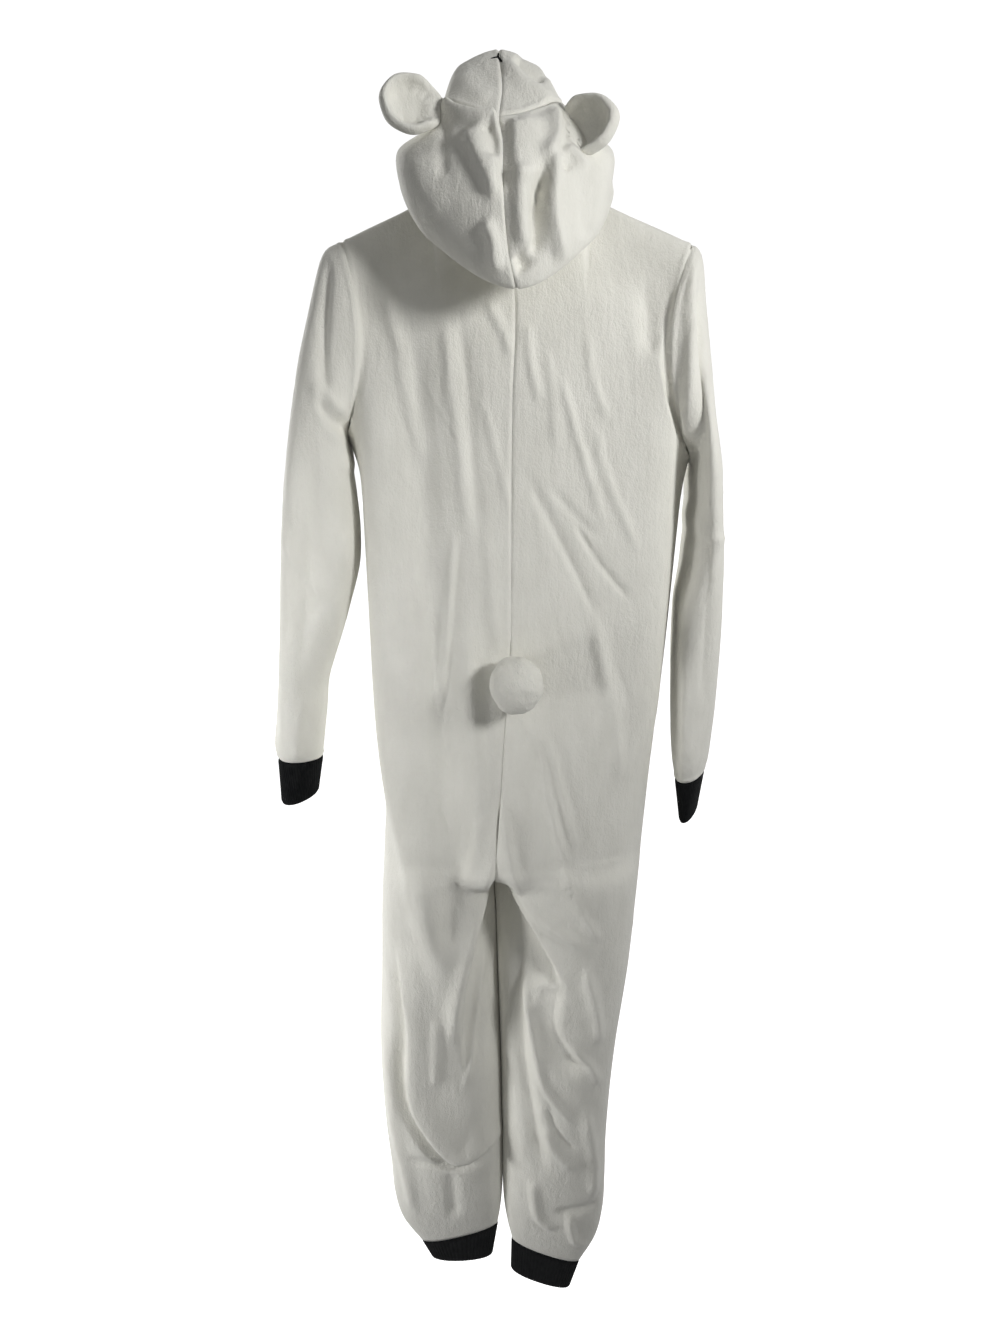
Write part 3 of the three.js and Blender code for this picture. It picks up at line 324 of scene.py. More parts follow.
# %% Driving sizes of the sleeves and cuffs
RING_COLUMNS = "at inX inY inZ outX outY outZ depth twist bow"
LAST_RING = 12.0
SLEEVE = {
    LEFT: table(
        RING_COLUMNS,
        (0, -180, 0, -392, -178, 0, -178, 50, 0, 22), (1, -180.6, 0, -396, -198, 0, -189, 52, 0, 16),
        (2, -181, 0, -400, -210, 0, -220, 54, 0, 10), (3, -180, 0, -408, -222, -2, -280, 56, 0, 3),
        (4, -177, 0, -425, -234, -4, -338, 56, 4, 0), (5, -173, 0, -455, -247, -6, -396, 56, 6, 0),
        (6, -170, 1, -500, -258, -8, -456, 56, 6, 0), (7, -173, 2, -548, -266, -8, -525, 55, 6, 0),
        (8, -190, 2, -605, -270, -8, -596, 54, 6, 0), (9, -214, 2, -670, -276, -8, -670, 52, 6, 0),
        (10, -221, 3, -728, -283, -9, -728, 48, 8, 0), (11, -228, 5, -776, -289, -12, -776, 40, 12, 0),
        (12, -232, 8, -797, -285, -14, -797, 28, 20, 0)),
    RIGHT: table(
        RING_COLUMNS,
        (0, 225, 0, -418, 217, 0, -181, 55, 0, 33), (1, 225.6, 0, -421, 228, 0, -194, 60, 0, 26),
        (2, 226, 0, -424, 235, 0, -240, 68, 0, 16), (3, 226.5, 0, -428, 240, 0, -300, 75, 0, 6),
        (4, 227, 0, -436, 243, 0, -360, 79, 0, 0), (5, 228, 0, -452, 251, 0, -415, 80, 0, 0),
        (6, 228, 0, -492, 257, 0, -478, 80, 0, 0), (7, 225, 0, -542, 263, 0, -540, 78, 0, 0),
        (8, 220, 0, -606, 268, 0, -606, 74, -2, 0), (9, 218, 0, -672, 270, 0, -672, 68, -5, 0),
        (10, 219, 2, -738, 270, -2, -738, 60, -10, 0), (11, 224, 3, -790, 270, -4, -790, 52, -15, 0),
        (12, 231, 5, -824, 265, -5, -818, 42, -18, 0)),
}
CUFF_END = {
    ("wrist", LEFT): dict(inX=-243, inY=12, inZ=-846, outX=-281, outY=-20, outZ=-858, depth=20, twist=38),
    ("wrist", RIGHT): dict(inX=240, inY=3, inZ=-880, outX=258, outY=-3, outZ=-876, depth=38, twist=-19),
    ("ankle", LEFT): dict(inX=-12, inY=0, inZ=-1607, outX=-102, outY=0, outZ=-1613, depth=13, twist=0),
    ("ankle", RIGHT): dict(inX=17, inY=2, inZ=-1637, outX=106, outY=-2, outZ=-1668, depth=13, twist=0),
}


def ring_points(ring, degrees):
    """Points of a ring at angles from its outer side, over its back, to its inner side: the
    middle plus the reach times the cosine plus the depth times the sine, each to the power
    2 / 2.15, which squares the ellipse a little."""
    angle = np.radians(degrees)
    power = 2 / 2.15
    cos, sin = signed_power(np.cos(angle), power), signed_power(np.sin(angle), power)
    twist = np.radians(ring["twist"])
    across = {"X": np.sin(twist) * ring["depth"], "Y": -np.cos(twist) * ring["depth"], "Z": 0}
    axes = []
    for axis in "XYZ":
        inner, outer = ring["in" + axis], ring["out" + axis]
        axes.append((outer + inner) / 2 + (outer - inner) / 2 * cos + across[axis] * sin)
    return np.stack(np.broadcast_arrays(*axes), axis=-1)


def sleeve_points(half, at, degrees):
    """Points of a sleeve. Near the armhole the rings bow in towards the body."""
    ring = {name: curve(SLEEVE[half]["at"], column, at) for name, column in SLEEVE[half].items()}
    points = ring_points(ring, degrees)
    points[..., 0] -= half * ring["bow"] * np.sin(np.radians(degrees)) ** 2
    return points


# %% [markdown]
# ## Panels of the body
#
# Above the armpit each row of a panel runs from the middle seam to the armhole, and the top of
# it passes over the hanger's arm. Below the armpit a row is part of an oval, and from the
# crotch down the oval closes to a leg.

# %% Points of a body panel
SEAM_CLEAR = 0.05  # the panels all but touch, and each seam sinks between them
MIDDLE_CLEAR = 0.1
OFF_BAR = 0.02  # the part of the way down to the armpit that the cloth takes to round the bar
ROUNDS = 0.4  # and the part that it takes to come to the body's own roundness
SHOULDER_CROWD = 1.15  # how much the columns crowd towards the armhole
EDGE_COLUMNS = [0, 0.25, 0.5, 0.8]  # fine columns at the middle seam, in steps of the rest


def neck_points(half, degrees):
    """The oval neckline, from 0 degrees at the back to 180 at the front. It rises to the
    sides of the neck with the sine to the power 2.2."""
    angle = np.radians(degrees)
    across, back = np.sin(angle), np.cos(angle)
    low = np.where(back > 0, NECK_LOW[BACK], NECK_LOW[FRONT])
    deep = np.where(back > 0, NECK_DEPTH[BACK], NECK_DEPTH[FRONT])
    x = NECK_X + half * across * NECK_SIDE
    return np.stack([x, -back * deep, mix(low, NECK_SIDE_Z, across**2.2)], axis=-1)


def middle_x(half, face, z):
    """The middle seam. At the front it stands back from the zip's chain."""
    seam = read(MIDDLE, SIDE[half], z)
    zip_part = ease((z - ZIP_END + 15) / 15) if face == FRONT else 0
    clear = mix(MIDDLE_CLEAR, ZIP_HALF, zip_part) * ease((z - CROTCH_Z) / 10 + 1)
    return seam + half * clear, clear


def panel_columns(half, across_neck, across_shoulder):
    """Columns as parts of the width, with the neckline's degrees: first along the neckline,
    then along the shoulder."""
    tip = sleeve_points(half, np.zeros(1), np.zeros(1))[0, 0]
    neck_part = NECK_SIDE / abs(tip - NECK_X)
    rest = np.linspace(1.2, across_neck - 1, across_neck - len(EDGE_COLUMNS))
    edge = np.concatenate([EDGE_COLUMNS, rest])
    share = edge / (across_neck - 1)
    share = mix(share, np.sin(share * np.pi / 2), 0.5)
    degrees = np.degrees(np.arcsin(np.clip(share, 0, 1)))
    first = np.arcsin(neck_part ** (ROUNDING / 2)) / (np.pi / 2)
    turn = mix(first, 1, 1 - (1 - np.linspace(0, 1, across_shoulder)[1:]) ** SHOULDER_CROWD)
    along_neck = neck_part * np.sin(np.radians(degrees))
    part = np.concatenate([along_neck, np.sin(turn * np.pi / 2) ** (2 / ROUNDING)])
    degrees = np.concatenate([degrees, np.full(len(turn), 90.0)])
    return part, degrees, neck_part


def upper_panel(half, face, part, columns):
    """Points above the armpit: part goes from 0 at the shoulder to 1 at the armpit."""
    f, degrees, neck_part = columns
    part = part[:, None]
    angle = np.degrees(np.arccos(1 - 2 * part))
    outer = sleeve_points(half, np.zeros_like(angle), angle if face == BACK else 360 - angle)
    middle_z = mix(NECK_LOW[face], CHEST_Z, part)
    middle, clear = middle_x(half, face, middle_z)
    tip = sleeve_points(half, np.zeros(1), np.zeros(1))[0]
    neck = neck_points(half, degrees if face == BACK else 180 - degrees)
    shoulder = np.clip((f - neck_part) / (1 - neck_part), 0, 1)
    top = mix(neck, tip, shoulder[:, None])
    top_x = top[:, 0] + half * clear * np.clip(1 - degrees / 30, 0, 1)
    fade = (1 - part) ** 2
    x = mix(middle, outer[..., 0], f) + (top_x - mix(middle, tip[0], f)) * fade
    z = mix(middle_z, outer[..., 2], f) + (top[:, 2] - mix(NECK_LOW[face], tip[2], f)) * fade
    arm_y = np.abs(outer[..., 1])
    on_shoulder = ease((f - neck_part / 2) / (neck_part / 2))
    bar = OVER_BAR * ease(part / OFF_BAR)
    top_y = np.abs(top[:, 1]) + on_shoulder * mix(bar, arm_y, shoulder**2)
    deep = mix(NECK_DEPTH[face], read(BODY, FACE[face], np.array(CHEST_Z)), ease(part * 1.3))
    rounded = (1 - f**ROUNDING) ** (1 / ROUNDING)
    low_y = deep * rounded + arm_y * (1 - rounded) ** 2
    y = face * (mix(top_y, low_y, ease(part / ROUNDS)) + SEAM_CLEAR * ease(f * 9))
    return np.stack(np.broadcast_arrays(x, y, z), axis=-1), rounded * ease(part * 2 - 0.2)


def lower_panel(half, face, row_z, columns):
    """Points below the armpit: part of an oval, which the crotch closes to a leg."""
    f = columns[0]
    row_z = row_z[:, None]
    stretch = np.where(row_z > CROTCH_Z, 1, LEG_STRETCH[half])
    middle_z = CROTCH_Z + (row_z - CROTCH_Z) * stretch
    inner, _ = middle_x(half, face, row_z)
    outer = read(BODY, SIDE[half], row_z)
    start = -ease((row_z - FORK_START_Z) / (CROTCH_Z - FORK_START_Z)) * np.pi / 2
    angle = mix(start, np.pi / 2, np.arcsin(f ** (ROUNDING / 2)) / (np.pi / 2))
    power = 2 / ROUNDING
    reach = (outer - inner) / (1 - signed_power(np.sin(start), power))
    x = outer - reach + reach * signed_power(np.sin(angle), power)
    z = middle_z + (x - inner) / (outer - inner) * read(TILT, SIDE[half], row_z)
    rounded = np.abs(np.cos(angle)) ** power
    y = face * (SEAM_CLEAR + read(BODY, FACE[face], row_z) * rounded)
    return np.stack([x, y, z], axis=-1), rounded


def relax_rows(grid, first, last, part, passes=40):
    """Evens a band of rows: each point goes towards the mean of itself and the rows above and
    below it, in full where part is 1."""
    for _ in range(passes):
        mean = (grid[first - 1:last - 1] + 2 * grid[first:last] + grid[first + 1:last + 1]) / 4
        grid[first:last] = mix(grid[first:last], mean, part[None, :, None])
    return grid


# %% [markdown]
# ## The folds of the body and sleeves
#
# Each row is a fold: its width on the left and on the right, its height (less than 0 for a
# trough), and the places that its line goes through, as x and z seen from behind. The places
# and sizes were judged from how the real garment hangs. Those of the front are made up
# in the same manner.

# %% Folds of each piece
FOLDS = {
    "back_left": [
        (18, 26, 10, (-146, -320), (-141, -576), (-134, -788), (-100, -960), (-71, -1090)),
        (18, 20, -5.5, (-100, -290), (-92, -404), (-82, -600), (-72, -750), (-62, -896)),
        (7, 9, 2.6, (-61, -270), (-53, -350), (-37, -494)),
        (6, 6, -2, (-42, -275), (-35, -350), (-25, -490)),
        (4, 5, 1.8, (-20, -350), (-3, -415), (9, -465)),
        (5, 6, 2, (-14, -246), (0, -271), (12, -300)),
        (5, 4, 2.4, (-53, -505), (-62, -600), (-74, -700)),
        (4, 5, -1.8, (-45, -505), (-54, -600), (-65, -700)),
        (14, 12, 5, (-38, -610), (-33, -722), (-27, -813), (-38, -894)),
        (20, 10, -6, (-30, -836), (-44, -892), (-60, -960), (-68, -1030)),
        (12, 6, 6, (-13, -921), (-33, -1013), (-55, -1109), (-62, -1180)),
        (5, 5, 3, (-7, -1048), (-20, -1123), (-30, -1185), (-47, -1257)),
        (6, 5, 2.5, (-84, -1147), (-87, -1255)),
        (5, 30, 8, (-130, -1062), (-122, -1169), (-125, -1265), (-110, -1323), (-63, -1390),
         (-8, -1373)),
        (8, 10, 4, (-154, -1200), (-150, -1340), (-136, -1425), (-127, -1500)),
        (9, 9, -3, (-70, -1420), (-68, -1510)),
        (6, 6, -2, (-125, -1395), (-90, -1402), (-55, -1398)),
        (8, 10, 3, (-130, -225), (-112, -300), (-92, -420)),
        (8, 8, 2, (-16, -500), (-8, -590), (2, -640)),
    ],
    "back_right": [
        (5, 7, -2.6, (32, -437), (63, -494), (93, -552), (112, -590)),
        (5, 5, -1.8, (60, -448), (86, -477), (112, -503)),
        (3, 4.5, -2.8, (87, -490), (116, -534), (149, -575)),
        (5, 5, 2, (69, -330), (81, -371), (95, -415), (118, -486)),
        (5, 5, 2, (110, -382), (118, -425), (155, -514)),
        (5, 5, 1.6, (30, -270), (34, -310), (44, -350)),
        (5, 6, 1.6, (52, -300), (60, -350), (62, -400)),
        (5, 5, 1.6, (96, -280), (104, -330), (122, -370)),
        (11, 11, -4, (163, -225), (165, -265), (168, -300)),
        (46, 14, 9, (184, -250), (190, -400), (186, -600), (178, -780)),
        (8, 10, 4, (110, -600), (128, -690), (146, -800)),
        (6, 7, 3, (30, -723), (46, -752), (62, -845), (83, -912)),
        (5, 6, 2.5, (54, -739), (70, -795), (93, -891)),
        (9, 9, 5, (4, -837), (15, -919), (51, -989), (107, -1035)),
        (5, 5, 2.5, (82, -920), (101, -975), (126, -1022)),
        (3.5, 3.5, 1.2, (98, -918), (155, -919)),
        (14, 9, -6, (18, -1060), (21, -1120), (28, -1200), (42, -1300), (60, -1400)),
        (5, 6, 4, (26, -1085), (36, -1138), (47, -1201), (60, -1260), (97, -1320)),
        (8, 8, 4, (113, -1075), (126, -1130), (135, -1190)),
        (7, 7, 3, (94, -1197), (121, -1229), (137, -1263)),
        (7, 8, 3, (60, -1335), (79, -1377), (104, -1407)),
        (4, 6, -3, (66, -1300), (82, -1345), (104, -1372)),
        (6, 8, 4, (46, -1435), (54, -1500), (76, -1530)),
        (6, 6, 3.5, (100, -1505), (110, -1556), (128, -1573)),
        (8, 8, -3.5, (84, -1493), (140, -1490)),
        (10, 8, 4, (120, -1310), (134, -1400), (136, -1470)),
    ],
    "front_left": [
        (18, 18, 6, (-60, -420), (-72, -600), (-90, -820)),
        (9, 7, 3, (-110, -260), (-96, -340), (-88, -430)),
        (10, 8, -4, (-34, -560), (-40, -700), (-62, -880)),
        (18, 16, 8, (-112, -980), (-96, -1180), (-80, -1380)),
        (8, 12, 5, (-40, -1000), (-60, -1120), (-64, -1240)),
        (8, 22, 6, (-140, -1280), (-110, -1380), (-50, -1420)),
        (8, 8, -3, (-80, -1440), (-76, -1520)),
    ],
    "front_right": [
        (18, 18, 6, (80, -420), (96, -600), (120, -820)),
        (8, 9, 3, (140, -250), (128, -330), (118, -430)),
        (6, 6, -3, (40, -470), (70, -530), (110, -580)),
        (10, 9, -4, (44, -620), (52, -740), (72, -900)),
        (16, 18, 8, (100, -1000), (96, -1200), (90, -1400)),
        (10, 8, 5, (36, -1010), (60, -1110), (70, -1230)),
        (20, 8, 6, (40, -1400), (100, -1390), (140, -1330)),
        (8, 8, -3, (90, -1460), (96, -1530)),
    ],
    "sleeve_left": [
        (7, 7, -5, (-191, -205), (-197, -280), (-197, -360)),
        (9, 6, 4, (-203, -330), (-190, -352), (-176, -366)),
        (5, 6, -3, (-205, -352), (-190, -372), (-172, -385)),
        (6, 6, 3, (-192, -384), (-182, -402), (-175, -432)),
        (12, 14, 5, (-216, -260), (-235, -395), (-253, -582), (-266, -780)),
        (10, 10, 4, (-186, -500), (-200, -600), (-216, -690)),
        (8, 8, -3, (-214, -420), (-222, -520), (-238, -640)),
        (6, 6, 2, (-250, -500), (-236, -540), (-206, -585)),
        (6, 6, 2.4, (-240, -700), (-250, -745), (-256, -790)),
    ],
    "sleeve_right": [
        (7, 8, -6, (222, -225), (224, -330), (223, -425)),
        (8, 7, 4, (211, -200), (212, -300), (214, -415)),
        (8, 8, 4, (243, -300), (248, -430), (258, -560), (262, -680), (262, -790)),
        (7, 7, -3, (236, -470), (242, -580), (247, -700)),
        (6, 7, 4, (222, -560), (226, -680), (232, -800)),
        (6, 6, 2.4, (222, -470), (236, -500), (252, -505)),
    ],
}

# Cloth set back beside an overhanging fold: on which side of the line, how soft the edge is, how
# far the cloth is set back, how deep, and the places of the line.
STEPS_BACK = {
    "back_left": [
        (1, 6, 60, 15, (-8, -946), (-20, -978), (-30, -1040), (-43, -1109), (-50, -1201), (-47, -1240)),
        (-1, 10, 26, 7, (-132, -1062), (-124, -1169), (-127, -1265), (-112, -1326), (-66, -1394),
         (-10, -1378)),
    ],
    "back_right": [
        (-1, 7, 80, 16, (2, -946), (19, -978), (45, -1021), (72, -1072), (84, -1112)),
        (-1, 10, 46, 9, (80, -1105), (76, -1160), (95, -1200), (122, -1232)),
    ],
}

# %% [markdown]
# ## Fine creases and sunk seams
#
# Between its big folds, hung fleece keeps many faint creases from being worn and packed. They
# run down or aslant and are a few millimetres wide. A seeded random set of small folds gives
# them, the same on each run. At a seam the cloth turns in, so the wall sinks by about a
# millimetre at its edge, and a bare line would look drawn on.

# %% Creases and seams
def small_creases(seed, count, low, high, slant=0.25):
    """Short seeded folds inside a box of x and z, most of them near to upright."""
    random = np.random.default_rng(seed)
    rows = []
    for _ in range(count):
        x, z = random.uniform(low[0], high[0]), random.uniform(low[1], high[1])
        long, lean = random.uniform(30, 90), random.normal(0.1, slant)
        bend = random.normal(0, 4)
        wide = random.uniform(2.5, 5)
        high_by = random.choice([-1, 1]) * random.uniform(0.2, 0.55)
        line = [(x, z), (x + lean * long / 2 + bend, z - long / 2), (x + lean * long, z - long)]
        rows.append((wide, wide, high_by, *line))
    return rows


def edge_distance(grid, side):
    """Millimetres along the grid from one of its edges: top, bottom, first or last."""
    axis = 0 if side in ("top", "bottom") else 1
    step = np.linalg.norm(np.diff(grid, axis=axis), axis=-1)
    if side in ("bottom", "last"):
        step = np.flip(step, axis)
    away = np.cumsum(step, axis)
    zero = np.zeros_like(np.take(away, [0], axis))
    away = np.concatenate([zero, away], axis)
    return np.flip(away, axis) if side in ("bottom", "last") else away


def seam_dip(away, deep, puff, wide=1.9):
    """How the cloth goes at a seam: down by deep at the edge, and up by puff just beside it."""
    beside = (away - 2.6 * wide) / (1.3 * wide)
    return puff * np.exp(-(beside**2)) - deep * np.exp(-((away / wide) ** 2))


def dress(piece, grid, normal, seams, clear, creases):
    """The grid with its folds, its small creases and its sunk seams, all along the normals.
    A seam is the name of an edge, its dip and the puff beside it."""
    x, z = grid[..., 0], grid[..., 2]
    back = steps_back(STEPS_BACK.get(piece, []), x, z)
    lift = (fold_heights(FOLDS.get(piece, []), x, z) - back) * clear
    lift = lift + fold_heights(creases, x, z) * clear
    for side, deep, puff in seams:
        lift = lift + seam_dip(edge_distance(grid, side), deep, puff)
    return grid + normal * lift[..., None]


# %% [markdown]
# ## The fleece
#
# The cloth is a white polyester fleece with a short brushed nap. Close up it is a soft fuzz
# with small clumps; from a metre away it is matt, a little glossy at grazing angles, and its
# white wanders slightly between cool and warm. Hair particles would be heavy and hardly seen, so
# the nap is relief from noise at three sizes, and a sheen on the shader.

# %% Material helpers
def new_material(name, colour, roughness, **sockets):
    """A material whose plain values are set on the shader's own sockets."""
    material = bpy.data.materials.new(name)
    material.use_nodes = True
    shader = material.node_tree.nodes["Principled BSDF"]
    shader.inputs["Base Color"].default_value = (*colour, 1)
    shader.inputs["Roughness"].default_value = roughness
    for socket, value in sockets.items():
        shader.inputs[socket.replace("_", " ")].default_value = value
    return material, shader


def add_noise(material, size, detail=3, roughness=0.55):
    """Noise whose lumps measure size millimetres along x, y and z."""
    tree = material.node_tree
    where = tree.nodes.new("ShaderNodeTexCoord")
    mapping = tree.nodes.new("ShaderNodeMapping")
    mapping.inputs["Scale"].default_value = [1 / (MM * s) for s in size]
    noise = tree.nodes.new("ShaderNodeTexNoise")
    noise.inputs["Scale"].default_value = 1.0
    noise.inputs["Detail"].default_value = detail
    noise.inputs["Roughness"].default_value = roughness
    tree.links.new(where.outputs["Object"], mapping.inputs["Vector"])
    tree.links.new(mapping.outputs["Vector"], noise.inputs["Vector"])
    return noise.outputs["Fac"]


def add_colours(material, shader, fac, low, high, start=0.35, end=0.65):
    """Lets the base colour wander between two colours with a pattern."""
    ramp = material.node_tree.nodes.new("ShaderNodeValToRGB")
    ramp.color_ramp.elements[0].position = start
    ramp.color_ramp.elements[1].position = end
    ramp.color_ramp.elements[0].color = (*low, 1)
    ramp.color_ramp.elements[1].color = (*high, 1)
    material.node_tree.links.new(fac, ramp.inputs["Fac"])
    material.node_tree.links.new(ramp.outputs["Color"], shader.inputs["Base Color"])
    return ramp


def add_relief(material, shader, layers):
    """Bump layers laid over each other: each is a pattern, its height in mm and strength."""
    tree = material.node_tree
    normal = None
    for pattern, height, strength in layers:
        bump = tree.nodes.new("ShaderNodeBump")
        bump.inputs["Distance"].default_value = height * MM
        bump.inputs["Strength"].default_value = strength
        tree.links.new(pattern, bump.inputs["Height"])
        if normal is not None:
            tree.links.new(normal, bump.inputs["Normal"])
        normal = bump.outputs["Normal"]
    tree.links.new(normal, shader.inputs["Normal"])


def grained_material(name, colour, roughness, tones, patches, grain, **sockets):
    """A plain surface: its colour wanders between two tones over patches of a size, and it has
    a fine grain, given by its size, height, strength and detail."""
    material, shader = new_material(name, colour, roughness, **sockets)
    add_colours(material, shader, add_noise(material, patches), *tones)
    size, height, strength, detail = grain
    add_relief(material, shader, [(add_noise(material, size, detail), height, strength)])
    return material


# %% Fleece material
def fleece_material(name, nap=1.0, creases=1.0):
    """Brushed fleece: two near whites, clumps of nap, fine fuzz and faint upright creases."""
    material, shader = new_material(
        name, (0.80, 0.79, 0.72), 0.92, Sheen_Weight=0.25, Sheen_Roughness=0.55, Specular_IOR_Level=0.2)
    patches = add_noise(material, (26, 26, 60), detail=4)
    add_colours(material, shader, patches, (0.76, 0.75, 0.685), (0.82, 0.81, 0.745), 0.3, 0.7)
    wrinkles = add_noise(material, (13, 13, 60), detail=4)
    lumps = add_noise(material, (5, 5, 8), detail=4, roughness=0.65)
    fuzz = add_noise(material, (1.6, 1.6, 2.4), detail=2, roughness=0.7)
    layers = [(wrinkles, 3.2 * creases, 0.5), (lumps, 1.8 * nap, 0.55), (fuzz, 0.9 * nap, 0.8)]
    add_relief(material, shader, layers)
    return material


fleece = fleece_material("white_fleece")
print("fleece:", len(fleece.node_tree.nodes), "nodes")

# %% [markdown]
# ## Body panels, made
#
# Rows crowd over the hanger's arm and at the armpit, where the surface turns fast. Below that
# they are even, and are read between heights that crowd at the crotch. The back panels show, so
# they get the finest grid. Each panel then gets its folds along its normals.

# %% Make the four panels
UPPER_ROWS = {BACK: 96, FRONT: 72}
LOWER_STEP = {BACK: 3.7, FRONT: 5.0}
COLUMNS = {BACK: (34, 62), FRONT: (24, 44)}
ARMPIT_ROWS = (16, 8)  # rows above and below the armpit that are evened, where the two parts meet
CREASES = {
    (LEFT, BACK): small_creases(3, 46, (-130, -1100), (5, -230)),
    (RIGHT, BACK): small_creases(5, 60, (20, -1100), (190, -210)),
    (LEFT, FRONT): small_creases(7, 26, (-130, -1300), (0, -230)),
    (RIGHT, FRONT): small_creases(9, 26, (20, -1300), (190, -230)),
}
LOWER_Z = np.array([-445, -500, -565, -635, -700, -760, -800, -830, -865, -905, -920, -932, -942, -950,
                    -959, -968, -988, -1016, -1055, -1100, -1150, -1205, -1265, -1325, -1385, -1440,
                    -1485, -1525, -1560.0])
body_grids = {}
for half in (LEFT, RIGHT):
    for face in (BACK, FRONT):
        name = f"{FACE[face]}_{SIDE[half]}"
        columns = panel_columns(half, *COLUMNS[face])
        part = spread(UPPER_ROWS[face], 0.5)
        upper, upper_clear = upper_panel(half, face, part, columns)
        lower, lower_clear = lower_panel(half, face, LOWER_Z, columns)
        keys = np.concatenate([mix(NECK_LOW[face], CHEST_Z, part), LOWER_Z])
        count = int(round((CHEST_Z - LOWER_Z[-1]) / LOWER_STEP[face]))
        fine = np.linspace(CHEST_Z, LOWER_Z[-1], count + 1)[1:]
        at = np.concatenate([keys[:len(part)], fine])
        grid = curve(keys, np.concatenate([upper, lower]), at)
        upper_clear = np.broadcast_to(upper_clear, upper.shape[:2])
        clear = curve(keys, np.concatenate([upper_clear, lower_clear]), at)
        above, below = ARMPIT_ROWS
        grid = relax_rows(grid, len(part) - above, len(part) + below, ease((1 - columns[0]) / 0.12))
        normal = normals_of(grid, False, (0, face, 0))
        seams = [("first", 1.1 if face == BACK else 0.8, 0.3), ("last", 1.3, 0.5), ("top", 1.2, 0.4)]
        grid = dress(name, grid, normal, seams, ease(clear * FOLD_FADE), CREASES[half, face])
        body_grids[half, face] = grid
        panel = wall(f"{name}_panel", grid, (0, face, 0), FLEECE, material=fleece)
        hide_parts(name)
        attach(panel, "garment")
        print(name, grid.shape, "area", round(area_of(grid), 3), "m2")

# %% [markdown]
# ## Sleeves
#
# The same rings as the armholes, carried on down to the wrists. The seam at the armhole sinks
# on both sides, and the sleeve's hem makes a small roll above the cuff.

# %% Make the sleeves
SLEEVE_ROWS, SLEEVE_COLUMNS = 210, 96
CREASED = {LEFT: ((-280, -760), (-190, -240)), RIGHT: ((215, -780), (260, -220))}
for half in (LEFT, RIGHT):
    name = f"sleeve_{SIDE[half]}"
    at = LAST_RING * mix(np.linspace(0, 1, SLEEVE_ROWS), spread(SLEEVE_ROWS, 1), 0.5)[:, None]
    degrees = np.linspace(0, 360, SLEEVE_COLUMNS, endpoint=False)[None, :]
    grid = sleeve_points(half, at, degrees)
    normal = normals_of(grid, True, (half, 0, 0))
    clear = ease(edge_distance(grid, "top") / 14) * ease(edge_distance(grid, "bottom") / 12)
    facing_back = ease(0.5 - normal[..., 1] * 1.2)
    clear = clear * mix(0.5, 1, facing_back)
    seams = [("top", 1.3, 0.6), ("bottom", 1.0, 0.8)]
    creases = small_creases(11 + half, 24, *CREASED[half])
    grid = dress(name, grid, normal, seams, clear, creases)
    sleeve = wall(f"{name}_tube", grid, (half, 0, 0), FLEECE, closed=True, material=fleece)
    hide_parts(name)
    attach(sleeve, "garment")
    print(name, grid.shape, "area", round(area_of(grid, True), 3), "m2")

# %% [markdown]
# ## Rib knit cuffs
#
# A cuff is knitted in ribs that stand up all along it, and it ends in a rounded fold. The ribs
# are real relief: the ring is pushed out by a row of half waves. A finer pattern of stitches
# comes from the material.

# %% Rib material and cuffs
RIB_KNIT = 2.0
rib = grained_material(
    "black_rib_knit", (0.005, 0.0055, 0.006), 0.9, [(0.003, 0.0035, 0.004), (0.008, 0.0085, 0.009)],
    (8, 8, 12), [(0.9, 0.9, 0.6), 0.35, 0.7, 2], Sheen_Weight=0.02, Specular_IOR_Level=0.06)
RIBS = {"wrist": 52, "ankle": 60}
PER_RIB = 5  # columns for each rib
RIB_HIGH, RIB_SUNK, END_SUNK = 0.9, 0.2, 0.8
HEM_Z = LOWER_Z[-1:]


def ankle_ring(half, degrees):
    """The hem of a leg, as a ring of the back panel's points and the front panel's."""
    over_back = degrees <= 180
    turn = 1 - np.where(over_back, degrees, 360 - degrees) / 180
    columns = (np.sin(turn * np.pi / 2) ** (2 / ROUNDING),)
    back, _ = lower_panel(half, BACK, HEM_Z, columns)
    front, _ = lower_panel(half, FRONT, HEM_Z, columns)
    return np.where(over_back[:, None], back[0], front[0])


def cuff_grid(kind, half, rows=22):
    """Rings between the sleeve's or leg's end and the cuff's own end, with a rib for each of a
    row of half waves, and the end drawn in a little."""
    degrees = np.linspace(0, 360, RIBS[kind] * PER_RIB, endpoint=False)
    if kind == "wrist":
        top = sleeve_points(half, np.full(1, LAST_RING), degrees) + (0, 0, -0.3)
    else:
        top = ankle_ring(half, degrees) + (0, 0, -0.3)
    end = ring_points(CUFF_END[kind, half], degrees)
    t = spread(rows, 0.6)[:, None, None]
    plain = mix(top, end, t)
    middle = plain.mean(axis=1, keepdims=True)
    normal = normals_of(plain, True, plain[rows // 2, 0] - middle[rows // 2, 0])
    wave = np.abs(np.cos(np.radians(degrees) * RIBS[kind] / 2)) ** 0.8
    rows_in = ease(t / 0.08) * ease((1 - t) / 0.06)
    ribs = wave[None, :, None] * RIB_HIGH - RIB_SUNK
    lift = ribs * mix(0.4, 1, rows_in) - END_SUNK * (1 - rows_in)
    return plain + normal * lift, normal


